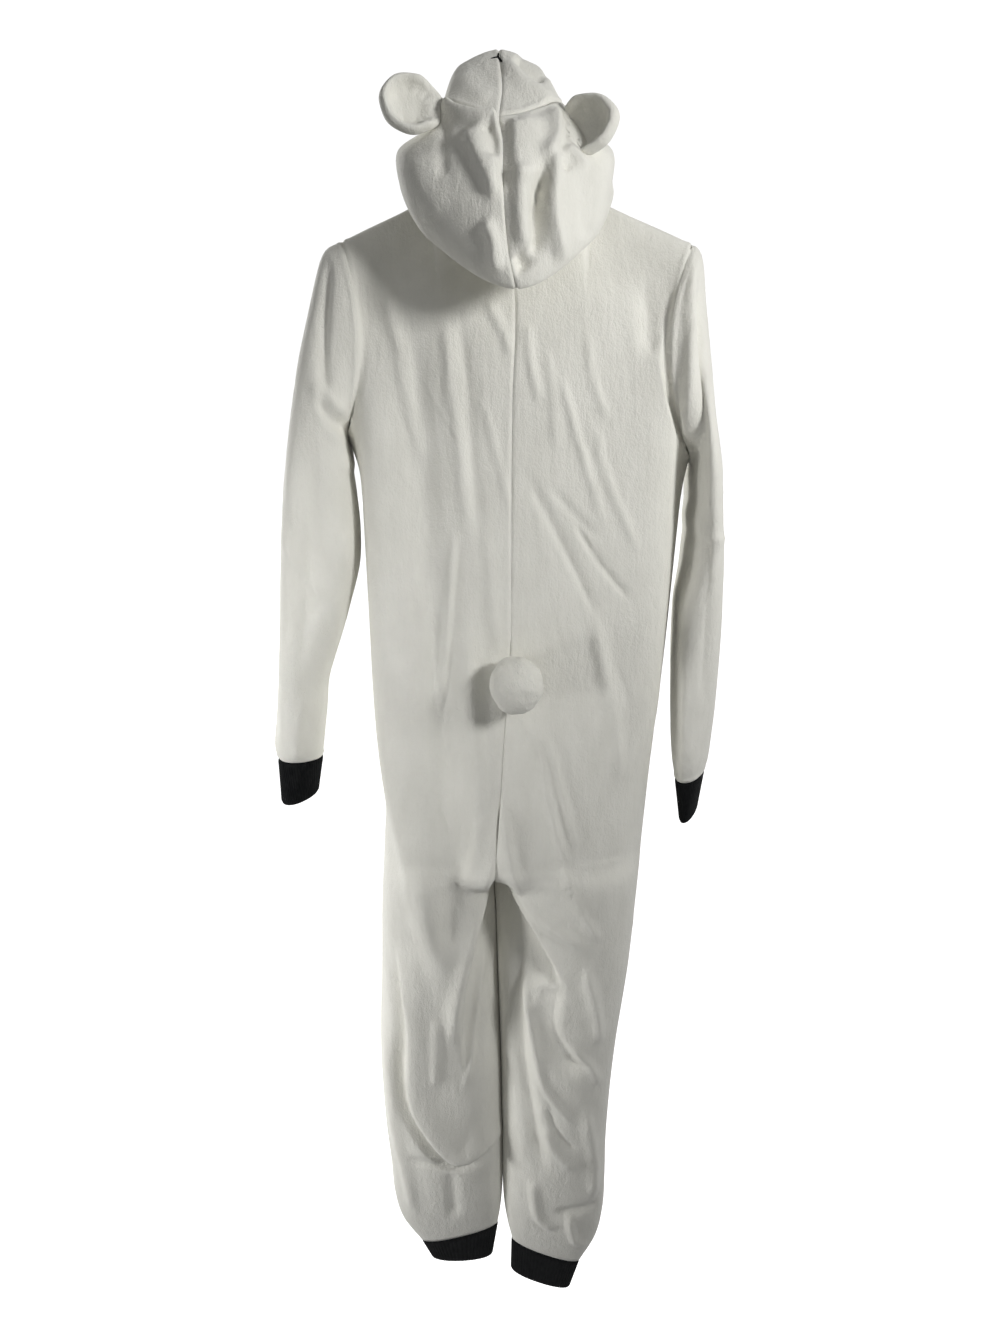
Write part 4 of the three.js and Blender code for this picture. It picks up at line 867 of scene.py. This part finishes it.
for half in (LEFT, RIGHT):
    for kind in ("wrist", "ankle"):
        grid, normal = cuff_grid(kind, half)
        name = f"{kind}_cuff_{SIDE[half]}"
        outward = normal[grid.shape[0] // 2, 0]
        cuff = wall(f"{name}_rib", grid, outward, RIB_KNIT, closed=True, material=rib)
        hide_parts(name)
        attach(cuff, "garment")
        print(name, grid.shape, "area", round(area_of(grid, True), 4), "m2")

# %% [markdown]
# ## The hood
#
# The hood is two halves with a seam down the middle and one across behind the crown. Hung with
# nobody in it, its back sags into a pouch and falls in deep soft folds. Its table gives five
# lines from the middle of the back to the edge round the face, at rows from the neck seam to
# the forehead; the folds are laid on it as on the body.

# %% Driving sizes and folds of the hood
HOOD_LINES = [0, 1 / 3, 0.5, 0.72, 1]
HOOD = table(
    "at axis x0 y0 z0 x1 y1 z1 x2 y2 z2 x3 y3 z3 x4 y4 z4",
    (1, 12, 0, -53, -153, 84, -31, -131, 94, 1, -124, 82, 36, -142, 14, 57, -180),
    (2, 14, 0, -96, -206, 94, -60, -156, 106, -14, -121, 94, 34, -132, 34, 63, -168),
    (3, 17, 0, -130, -239, 88, -84, -186, 114, -34, -136, 106, 28, -124, 50, 64, -152),
    (4, 13, 0, -144, -205, 99, -94, -155, 118, -34, -120, 108, 26, -112, 64, 62, -134),
    (5, 9, 0, -140, -150, 99, -92, -112, 115, -30, -90, 106, 28, -92, 74, 59, -104),
    (6, 6, 0, -118, -98, 68, -78, -76, 80, -24, -66, 80, 28, -66, 68, 55, -72),
    (7, 2, 0, -88, -64, 54, -58, -46, 64, -14, -40, 66, 26, -44, 62, 51, -48),
    (8, -1, 0, -22, 7, 40, -16, -4, 50, 4, -12, 56, 24, -20, 56, 50, -28),
    (9, -1, 0, 50, 3, 19, 50, 1, 29, 50, -2, 41, 50, -8, 52, 49, -16))
# The half that sags more is wider: the share of the table's width, at each row.
HOOD_SHARE = table(
    "at left right",
    (1, 1, 1), (2, 1.02, 0.97), (3, 1.05, 0.93), (4, 1.035, 0.92), (5, 1.03, 0.97), (6, 1, 1),
    (9, 1, 1))
# The middle seam sways as the sagging cloth pulls it: how far, at heights z.
SEAM_SWAY = table(
    "z by",
    (-245, 0), (-206, -4.5), (-176, -5.5), (-135, -5.5), (-98, -3.5), (-74, -4), (-40, 1), (10, 0))
CAP_SEAM = 6.85  # the row of the seam behind the crown
TURNED_IN = 2.9  # rows before this one are turned in towards the neck and have no folds
HOOD_FOLDS = {
    "hood_back_left": [
        (10, 4, 7.5, (-55, -50), (-45, -64), (-22, -75), (-5, -76), (1, -92)),
        (6, 6, -2.5, (-57, -74), (-58, -104), (-57, -132)),
        (8, 20, 8, (-32, -90), (-20, -118), (-9, -140), (-4, -154)),
        (8, 6, -5, (-13, -86), (-8, -98), (-5, -117)),
        (8, 6, 6, (-14, -176), (-5, -196), (-3, -222)),
        (16, 14, 2.5, (-84, -110), (-78, -140), (-60, -165)),
    ],
    "hood_back_right": [
        (6, 30, 7, (14, -74), (15, -98), (16, -124), (18, -142)),
        (8, 11, 7, (19, -130), (18, -160), (20, -185), (24, -200)),
        (9, 4, 6, (56, -62), (58, -82), (56, -100), (44, -118)),
        (6, 6, -9, (43, -128), (37, -160), (37, -206)),
        (6, 9, 8, (54, -110), (52, -140), (51, -165), (57, -195), (62, -208)),
        (5, 6, 5, (64, -106), (74, -110), (85, -121)),
        (3, 3, -4, (59, -124), (70, -123)),
        (4, 6, -1.2, (9, -138), (9, -165), (10, -196)),
        (11, 10, -7, (16, -208), (27, -222)),
        (6, 7, -2.5, (14, -64), (15, -86)),
        (9, 9, -2, (82, -128), (84, -160), (88, -185)),
    ],
    "hood_crown_left": [
        (10, 10, 1.5, (-40, -20), (-30, -38), (-12, -52)),
    ],
    "hood_crown_right": [
        (8, 9, -6, (16, -4), (30, -13), (46, -26)),
        (9, 8, 4, (9, -8), (24, -32), (54, -50)),
        (4, 4, -3, (44, -59), (53, -61)),
    ],
}


def hood_points(half, u, at):
    """Points of half the hood. Each table line is read across at u, from 0 in the middle of the
    back to 1 at the face, and then the lines are read up the rows at at."""
    neck = neck_points(half, np.minimum(u * 180, 177.7)) + (0, 0, 0.3)
    axes = []
    for axis, mirror in (("x", -1), ("y", 1), ("z", 1)):
        lines = np.stack([HOOD[f"{axis}{i}"] for i in range(len(HOOD_LINES))])
        keys = [-HOOD_LINES[1], *HOOD_LINES]
        across = curve(keys, np.concatenate([mirror * lines[1:2], lines]), u)
        share = curve(HOOD_SHARE["at"], HOOD_SHARE[SIDE[half]], HOOD["at"])[:, None]
        across = HOOD["axis"][:, None] + half * share * across.T if axis == "x" else across.T
        rows = np.concatenate([neck[None, :, "xyz".index(axis)], across])
        axes.append(curve(np.concatenate([[0], HOOD["at"]]), rows, at))
    return np.stack(axes, axis=-1)


# %% Make the hood
HOOD_PIECES = {"hood_back": (0, CAP_SEAM, 150), "hood_crown": (CAP_SEAM, 9, 56)}  # rows and their count
SEAM_COLUMNS = [0, 0.002, 0.005, 0.009]  # fine columns beside the middle seam
hood_grids = {}
for half in (LEFT, RIGHT):
    for piece, (low, high, rows) in HOOD_PIECES.items():
        name = f"{piece}_{SIDE[half]}"
        at = low + (high - low) * spread(rows, 0.35)
        u = np.concatenate([SEAM_COLUMNS, np.linspace(0.014, 1, 92)])
        grid = hood_points(half, u, at)
        normal = normals_of(grid, False, (half, 0, 0.2))
        near_cap = edge_distance(grid, "bottom" if piece == "hood_back" else "top")
        middle = edge_distance(grid, "first")
        sway = curve(SEAM_SWAY["z"], SEAM_SWAY["by"], grid[..., 2]) * np.exp(-((middle / 26) ** 2))
        shown = ease((at[:, None] - TURNED_IN) / 0.4)
        grid[..., 0] += sway * shown
        x, z = grid[..., 0], grid[..., 2]
        outside = shown * ease(u[None, :] * 20 + 0.25)
        lift = fold_heights(HOOD_FOLDS[name], x, z) * outside * ease((1 - u[None, :]) * 3)
        lift = lift * np.where(lift < 0, ease(near_cap / 12), 1)
        lift = lift + seam_dip(middle, 1.3, 0.3, 1.5) * ease((at[:, None] - 2) / 1.0)
        lift = lift + seam_dip(near_cap, 1.3, 0.5, 1.8)
        if piece == "hood_back":
            lift = lift + seam_dip(edge_distance(grid, "top"), 0.8, 0.3, 2.4)
        grid = grid + normal * lift[..., None]
        grid[:, 0, 0] = grid[:, 0, 0] + half * MIDDLE_CLEAR
        hood_grids[half, piece] = grid
        hood = wall(f"{name}_cloth", grid, (half, 0, 0.2), FLEECE, material=fleece)
        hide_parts(name)
        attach(hood, "garment")
        print(name, grid.shape, "area", round(area_of(grid), 4), "m2")

# %% [markdown]
# ## The gap at the crown
#
# The seams of the hood meet at the crown round a small gap with three arms, behind which the
# dark hanger's hook stands. The gap could be cut out of the grids, but it is only as wide as a
# pencil line, so it is three thin leaves of painted shade set into the seam: near black, they
# stand for the shade inside the gap and the dark hook seen through it. Each leaf is a grid along
# its arm, and every point goes on to the line of the hood's middle, drawn in as the hood is round.

# %% Make the gap at the crown
GAP_PLACE = (-38, -1)  # y and z on the middle seam, where the three arms meet
GAP_MIDDLE_X = -2
GAP_ARMS = table("x up wide", (0.5, 9, 1.5), (-8, -1.5, 1.6), (5.5, -11, 1.3))
GAP_LIFT, GAP_THICK = 0.5, 1.8
CROWN_DROP = 0.007  # how fast the crown falls to the sides: its drop over the square of x
crown_line = hood_points(RIGHT, np.zeros(1), np.linspace(7, 8.6, 90))[:, 0, 1:]
crown_reach = np.concatenate([[0], np.cumsum(np.linalg.norm(np.diff(crown_line, axis=0), axis=1))])
gap_row = np.linalg.norm(crown_line - GAP_PLACE, axis=1).argmin()
gap_start = crown_reach[gap_row]


def on_crown(x, up, lift):
    """Places x to the side of the middle seam and up along it: the seam's line at that length,
    plus the lift less the drop along the line's normal."""
    here, ahead, behind = (curve(crown_reach, crown_line, gap_start + up + by) for by in (0, 1, -1))
    along = (ahead - behind) / 2
    out = np.stack([-along[..., 1], along[..., 0]], axis=-1)
    place = here + out * (lift - CROWN_DROP * x**2)[..., None]
    return np.concatenate([x[..., None], place], axis=-1)


# Painted shade: a near-black material that stands for the shade inside the crown's gap and the dark hook
# behind it.
gap_shade_paint = grained_material(
    "gap_shadow", (0.01, 0.01, 0.01), 0.9, [(0.006, 0.006, 0.006), (0.014, 0.014, 0.014)],
    (2, 2, 2), [(0.8, 0.8, 0.8), 0.1, 0.5, 3], Specular_IOR_Level=0.1)
for number, (arm_x, arm_up, wide) in enumerate(zip(*GAP_ARMS.values())):
    t = np.linspace(-0.08, 1, 16)[:, None]
    taper = 0.9 * wide * np.sqrt(np.clip(1 - t, 0, 1))
    across = np.linspace(-1, 1, 7)[None, :] * taper
    long = np.hypot(arm_x, arm_up)
    x = GAP_MIDDLE_X + t * arm_x - across * arm_up / long
    up = t * arm_up + across * arm_x / long
    grid = on_crown(x, up, GAP_LIFT)
    leaf = wall(f"crown_gap_shade_leaf_{number + 1}", grid, (0, -1, 1), GAP_THICK, material=gap_shade_paint)
    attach(leaf, "garment")
print("gap on the crown at y and z", crown_line[gap_row].round(1))

# %% [markdown]
# ## Ears
#
# An ear is two rounds of fleece sewn together and turned, so its rim is a soft roll, and its
# face is a hollow that looks back and inwards. It starts as a round form from a section, and
# the points that would lie inside the hood are moved on to the hood, where it is sewn on.

# %% Make the ears
EARS = {
    LEFT: dict(x=-90, y=-80, z=-58, wide=34, tall=30, turn=14, lean=-16, sewn=8),
    RIGHT: dict(x=85, y=-86, z=-80, wide=40, tall=32, turn=-34, lean=-14, sewn=172),
}
RIM_FLAT = -4  # the height to which the rim flattens where it is sewn on
EAR_SECTION = table(
    "out high",
    (0, -5.5), (0.3, -5), (0.55, -3), (0.68, 1.5), (0.77, 6.8), (0.87, 9.2), (0.96, 6.8), (1.0, 1.5),
    (0.97, -3), (0.84, -6.4), (0.5, -9.2), (0.2, -10), (0, -10))


def lumps(points, seed, size, count=40):
    """A gentle seeded unevenness: a sum of a few waves in random directions."""
    random = np.random.default_rng(seed)
    total = np.zeros(points.shape[:-1])
    for _ in range(count):
        way = random.normal(0, 1, 3)
        way *= 2 * np.pi / (size * random.uniform(0.7, 1.6)) / np.linalg.norm(way)
        total += np.cos(points @ way + random.uniform(0, 2 * np.pi))
    return total / np.sqrt(count)


def ear_points(ear, rows=64, columns=96):
    """A round of the ear's section, leaned back, turned and put in its place. The rolled rim
    flattens towards the angle where the ear is sewn on."""
    along = np.linspace(0, len(EAR_SECTION["out"]) - 1, rows)[1:-1]
    out = curve(np.arange(len(EAR_SECTION["out"])), EAR_SECTION["out"], along)[:, None]
    high = curve(np.arange(len(EAR_SECTION["out"])), EAR_SECTION["high"], along)[:, None]
    angle = np.linspace(0, 2 * np.pi, columns, endpoint=False)[None, :]
    sewn = ease((np.cos(angle - np.radians(ear["sewn"])) - 0.35) / 0.6)
    high = np.where(high > RIM_FLAT, mix(high, RIM_FLAT, 0.85 * sewn), high)
    uneven = 1 + 0.02 * np.sin(3 * angle + 1) + 0.012 * np.sin(7 * angle)
    x = out * np.cos(angle) * ear["wide"] * uneven
    z = out * np.sin(angle) * ear["tall"] * uneven
    face = ear["wide"] * np.stack([out * np.cos(angle), 0 * angle * out, out * np.sin(angle)], axis=-1)
    pucker = 0.5 * np.sin(11 * angle + 5 * np.sin(angle))
    pucker = pucker * ease((out - 0.4) / 0.2) * ease((0.92 - out) / 0.15)
    pucker = pucker + 1.1 * lumps(face, 31 + int(ear["x"] > 0), 26) * ease((0.95 - out) / 0.3)
    y = -high - pucker + 0 * angle
    lean, turn = np.radians(ear["lean"]), np.radians(ear["turn"])
    y, z = y * np.cos(lean) - z * np.sin(lean), y * np.sin(lean) + z * np.cos(lean)
    x, y = x * np.cos(turn) - y * np.sin(turn), x * np.sin(turn) + y * np.cos(turn)
    return np.stack([x + ear["x"], y + ear["y"], z + ear["z"]], axis=-1)


def outside_of(points, skin, normal, clear=0.3):
    """Moves the points that lie inside a skin on to it: the nearest point of the skin is found
    for each, and where the point is behind it, it goes to the skin plus a little."""
    skin, normal = skin.reshape(-1, 3), normal.reshape(-1, 3)
    moved = points.reshape(-1, 3).copy()
    for start in range(0, len(moved), 500):
        some = moved[start:start + 500]
        away = ((some[:, None, :] - skin[None, :, :]) ** 2).sum(-1)
        near = away.argmin(axis=1)
        height = ((some - skin[near]) * normal[near]).sum(-1)
        lift = np.maximum(clear - height, 0)
        moved[start:start + 500] = some + normal[near] * lift[:, None]
    return moved.reshape(points.shape)


def closed_round(name, rings, material):
    """A closed form from rings, with a fan of triangles to a pole at each end."""
    rows, columns = rings.shape[:2]
    poles = np.stack([rings[0].mean(axis=0), rings[-1].mean(axis=0)])
    points = np.concatenate([rings.reshape(-1, 3), poles])
    quads = quads_of(rows, columns, True)
    edge = np.arange(columns)
    beside = (edge + 1) % columns
    last = (rows - 1) * columns
    first_pole, last_pole = rows * columns, rows * columns + 1
    fans = np.concatenate([np.stack([np.full(columns, first_pole), edge, beside], -1),
                           np.stack([np.full(columns, last_pole), last + beside, last + edge], -1)])
    middle = rings.reshape(-1, 3).mean(axis=0)
    corner = points[quads]
    facing = np.cross(corner[:, 1] - corner[:, 0], corner[:, 3] - corner[:, 0])
    agrees = np.sum(facing * (corner[:, 0] - middle))
    if agrees < 0:
        quads, fans = quads[:, ::-1], fans[:, ::-1]
    return make_piece(name, points, quads, material, fans)


HOOD_POUCH_ROW = 60  # the ears lie on the rows from here up, a third of whose points are enough
for half, ear in EARS.items():
    rings = ear_points(ear)
    skin, facing = [], []
    for piece, first_row in (("hood_back", HOOD_POUCH_ROW), ("hood_crown", 0)):
        grid = hood_grids[half, piece]
        skin.append(grid[first_row:].reshape(-1, 3)[::3])
        facing.append(normals_of(grid, False, (half, 0, 0.2))[first_row:].reshape(-1, 3)[::3])
    rings = outside_of(rings, np.concatenate(skin), np.concatenate(facing))
    piece = closed_round(f"ear_{SIDE[half]}_round", rings, fleece)
    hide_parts(f"ear_{SIDE[half]}")
    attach(piece, "garment")
    print("ear", SIDE[half], "size", np.ptp(rings.reshape(-1, 3), axis=0).round(1))

# %% [markdown]
# ## Tail
#
# The tail is a stuffed ball of the same fleece, gathered and sewn flat on to the middle seam.
# Its nap is longer and felted, so the ball is a little lumpy.

# %% Make the tail
TAIL = dict(x=18.7, z=-670, wide=31, tall=34, flat_y=-79.2, sunk=3)


def tail_points(rows=72, columns=110):
    """A ball, wide across and a little taller, whose front is cut flat on the seam."""
    up = np.linspace(0, np.pi, rows)[1:-1, None]
    around = np.linspace(0, 2 * np.pi, columns, endpoint=False)[None, :]
    ball = np.stack([np.sin(up) * np.sin(around), -np.sin(up) * np.cos(around),
                     np.cos(up) + 0 * around], axis=-1)
    reach = 1 + 0.012 * lumps(ball * 30, 21, 9) + 0.02 * lumps(ball * 30, 22, 26)
    ball = ball * reach[..., None]
    x = TAIL["x"] + ball[..., 0] * TAIL["wide"]
    y = TAIL["flat_y"] - TAIL["wide"] + TAIL["sunk"] + ball[..., 1] * TAIL["wide"]
    z = TAIL["z"] + ball[..., 2] * TAIL["tall"]
    return np.stack([x, np.minimum(y, TAIL["flat_y"]), z], axis=-1)


felted = fleece_material("felted_fleece", nap=1.8, creases=0)
tail = closed_round("tail_ball", tail_points(), felted)
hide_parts("tail")
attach(tail, "garment")
print("tail", len(tail.data.polygons), "faces")

# %% [markdown]
# ## Zip
#
# The zip is on the hidden front. Its tapes are thin woven strips behind the panels' edges, and
# its chain is two rows of small teeth which lock into each other. One tooth is made once, and
# numpy puts a copy of its few faces at each step along the chain.

# %% Tapes and chain
ZIP_TOP = -194
TAPE = dict(width=12, thick=0.8, behind=0.5)


def zip_edge(half, fine=3.0):
    """The edge of a front panel along the zip, at even steps of height, from top to bottom."""
    grid = body_grids[half, FRONT]
    edge, beside = grid[:, 0], grid[:, 3]
    z = np.arange(ZIP_TOP, ZIP_END, -fine)
    order = np.argsort(edge[:, 2])
    where = edge[order, 2]
    line = np.stack([np.interp(z, where, edge[order, i]) for i in range(3)], axis=-1)
    out = beside - edge
    out /= np.linalg.norm(out, axis=1, keepdims=True)
    out = np.stack([np.interp(z, where, out[order, i]) for i in range(3)], axis=-1)
    return line, out


tape_material = grained_material(
    "woven_tape", (0.78, 0.77, 0.74), 0.8, [(0.74, 0.73, 0.70), (0.80, 0.79, 0.77)],
    (6, 6, 6), [(0.7, 0.7, 0.35), 0.2, 0.7, 1], Specular_IOR_Level=0.25)
zip_lines = {}
for half in (LEFT, RIGHT):
    line, out = zip_edge(half)
    zip_lines[half] = line
    start = line + (0, -(FLEECE + TAPE["behind"]), 0)
    across = np.linspace(0, 1, 9)[None, :, None] * TAPE["width"]
    grid = start[:, None, :] + out[:, None, :] * across
    tape = wall(f"zip_tape_{SIDE[half]}_strip", grid, (0, 1, 0), TAPE["thick"], material=tape_material)
    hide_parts(f"zip_tape_{SIDE[half]}")
    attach(tape, "garment")
    print("tape", SIDE[half], "area", round(area_of(grid), 4), "m2")

# %% Teeth
TOOTH = dict(pitch=2.6, long=4.0, tall=1.5, deep=2.2, aside=1.1, sunk=0.6)
STOP_SIZE = (1.9, 1.3, 8.5)  # the bottom stop is a tooth made this much wider, deeper and taller
STOP_SUNK, STOP_BELOW = 1.2, 6
zip_plastic = grained_material(
    "moulded_teeth", (0.76, 0.76, 0.75), 0.4, [(0.73, 0.73, 0.72), (0.79, 0.79, 0.78)],
    (3, 3, 3), [(0.5, 0.5, 0.5), 0.05, 0.4, 3])


def tooth_points():
    """A tooth: a bar with a rounded head, wider at the head and narrow at the neck."""
    long, tall, deep = TOOTH["long"] / 2, TOOTH["tall"] / 2, TOOTH["deep"] / 2
    x = np.array([-1, -0.2, 0.15, 0.55, 0.9, 1]) * long
    half_tall = np.array([0.9, 0.9, 0.6, 1.0, 1.0, 0.55]) * tall
    half_deep = np.array([1, 1, 0.9, 1, 0.9, 0.6]) * deep
    turn = np.radians(np.arange(8) * 45 + 22.5)
    y = signed_power(np.cos(turn), 0.6)[None, :] * half_deep[:, None]
    z = signed_power(np.sin(turn), 0.6)[None, :] * half_tall[:, None]
    return np.stack([np.broadcast_to(x[:, None], y.shape), y, z], axis=-1)


def chain_teeth():
    """Teeth from both sides, half a step apart, along the middle of the chain, and the stop
    below the last of them, which closes the end of the opening."""
    middle = (zip_lines[LEFT] + zip_lines[RIGHT]) / 2
    length = np.arange(0, ZIP_TOP - ZIP_END - 4, TOOTH["pitch"])
    tooth = tooth_points()
    rows, columns = tooth.shape[:2]
    quads = quads_of(rows, columns, True)
    caps = np.array([[0, i, i + 1] for i in range(1, columns - 1)])
    caps = np.concatenate([caps, caps[:, ::-1] + (rows - 1) * columns])
    points, faces, triangles = [], [], []
    for side in (LEFT, RIGHT):
        z = ZIP_TOP - 2 - length - (TOOTH["pitch"] / 2 if side == RIGHT else 0)
        order = np.argsort(middle[:, 2])
        x = np.interp(z, middle[order, 2], middle[order, 0]) + side * TOOTH["aside"]
        y = np.interp(z, middle[order, 2], middle[order, 1]) - TOOTH["sunk"]
        place = np.stack([x, y, z], axis=-1)
        bars = tooth * (-side, 1, 1)
        points.append((place[:, None, None, :] + bars[None]).reshape(-1, 3))
        turn = 1 if side == LEFT else -1
        base = (np.arange(len(z)) * rows * columns)[:, None, None]
        base = base + (0 if side == LEFT else len(points[0]))
        faces.append((quads[None, :, ::turn] + base).reshape(-1, 4))
        triangles.append((caps[None, :, ::turn] + base).reshape(-1, 3))
    foot = np.array([middle[-1, 0], middle[-1, 1] - STOP_SUNK, ZIP_END - STOP_BELOW])
    base = sum(len(some) for some in points)
    points.append((tooth * STOP_SIZE + foot).reshape(-1, 3))
    faces.append(quads + base)
    triangles.append(caps + base)
    return np.concatenate(points), np.concatenate(faces), np.concatenate(triangles)


points, quads, triangles = chain_teeth()
teeth = make_piece("zip_teeth", points, quads, zip_plastic, triangles)
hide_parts("zip_chain")
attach(teeth, "garment")
print("teeth and the stop:", len(points) // tooth_points()[..., 0].size)

# %% [markdown]
# ## The cut of each piece of cloth
#
# Every piece was cut flat before it was sewn and hung.

# %% [markdown]
# ## Hard pieces that keep the model's shape
#
# The slider, its pull tab and the hanger are hard, and the model already has their shape. They
# only need a finish: cast metal with faint scratches, and dark moulded plastic with a fine grain.

# %% Metal and plastic
metal = grained_material(
    "cast_metal", (0.62, 0.62, 0.63), 0.35, [(0.55, 0.55, 0.56), (0.68, 0.68, 0.69)],
    (1.2, 1.2, 6), [(0.4, 0.4, 3), 0.05, 0.4, 3], Metallic=1.0)
plastic = grained_material(
    "hanger_plastic", (0.02, 0.02, 0.021), 0.45, [(0.015, 0.015, 0.016), (0.03, 0.03, 0.031)],
    (20, 6, 6), [(0.8, 0.8, 0.8), 0.08, 0.35, 3])
for node, material in (("zip_slider", metal), ("zip_pull", metal), ("hanger", plastic)):
    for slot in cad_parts[node].material_slots:
        slot.material = material
    print(node, "gets", material.name)

# %% [markdown]
# ## Floor, light and camera
#
# The garment hangs in front of a pale wall in a dimmer room. A soft window light stands to the
# right, so that folds shade to the left and the hood and the tail throw their shadows that way. A
# weaker one stands low on the left, which grazes the legs, and a faint one fills the left sleeve.
# The hidden front has a window of its own. The room shines dimly but looks white all round.
# The camera is a phone's main camera, 1.22 m behind the cloth and tipped 16 degrees down.

# %% Room, light and camera
FLOOR_Z = -2000
room = 14000
corners = np.array([(x * room, y * room, FLOOR_Z) for x, y in ((-1, -1), (1, -1), (1, 1), (-1, 1))])
paint, paint_shader = new_material("pale_floor", (0.9, 0.9, 0.9), 0.9, Emission_Strength=1.0)
paint_shader.inputs["Emission Color"].default_value = (1, 1, 1, 1)
floor = make_piece("floor", corners, [[0, 1, 2, 3]], paint, smooth=False)
floor.visible_diffuse = False  # the pale floor is looked at, but throws no light up on the cloth
floor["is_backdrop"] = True

WALL, ROOM, SEEN = 0.6, 0.17, 1.05  # how the wall and the room shine, and how bright both look
world = bpy.data.worlds.new("bright_wall")
world.use_nodes = True
tree = world.node_tree
where = tree.nodes.new("ShaderNodeTexCoord")
axes = tree.nodes.new("ShaderNodeSeparateXYZ")
turn = tree.nodes.new("ShaderNodeMapRange")
turn.interpolation_type = "SMOOTHSTEP"
for socket, value in (("From Min", -0.25), ("From Max", 0.55), ("To Min", ROOM), ("To Max", WALL)):
    turn.inputs[socket].default_value = value
tree.links.new(where.outputs["Generated"], axes.inputs["Vector"])
tree.links.new(axes.outputs["Y"], turn.inputs["Value"])
path = tree.nodes.new("ShaderNodeLightPath")
looks = tree.nodes.new("ShaderNodeMix")
looks.inputs["B"].default_value = SEEN
tree.links.new(path.outputs["Is Camera Ray"], looks.inputs["Factor"])
tree.links.new(turn.outputs["Result"], looks.inputs["A"])
tree.links.new(looks.outputs["Result"], tree.nodes["Background"].inputs["Strength"])
tree.nodes["Background"].inputs["Color"].default_value = (1, 1, 1, 1)
scene.world = world
scene.view_settings.view_transform = "Standard"


def soft_light(name, place, towards, size, power, spread):
    """A round light at a place, turned towards another place, both in metres. Its beam is as
    wide as the spread, in degrees."""
    data = bpy.data.lights.new(name, "AREA")
    data.shape, data.size, data.energy, data.spread = "DISK", size, power, np.radians(spread)
    light = bpy.data.objects.new(name, data)
    light.location = place
    light.rotation_euler = (Vector(place) - Vector(towards)).to_track_quat("Z", "Y").to_euler()
    light.visible_camera = False
    scene.collection.objects.link(light)
    return light


soft_light("window", (1.15, -1.1, 0.1), (0, 0, -0.3), 0.36, 6.6, 110)
soft_light("low_window", (-1.5, -0.55, -1.0), (0, 0, -1.3), 0.45, 3.3, 80)
soft_light("front_window", (-1.3, 1.5, 0.2), (0, 0, -0.6), 0.5, 8.0, 110)
soft_light("fill", (-1.2, -1.3, -0.4), (-0.4, 0, -0.55), 0.3, 0.35, 28)
data = bpy.data.cameras.new("camera")
data.sensor_width, data.lens = 36, 27.03  # mm, for the picture's longer side
camera = bpy.data.objects.new("camera", data)
camera.location = (0, -1.22, -0.328)
camera.rotation_euler = (np.radians(74), 0, 0)
scene.collection.objects.link(camera)
scene.camera = camera
print("camera at", tuple(camera.location))

# %% Check the size and finish
dressed_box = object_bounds()
grew = [round((d - c) / MM, 1) for pair in zip(cad_box, dressed_box) for c, d in zip(*pair)]
print("grew by (mm):", grew)
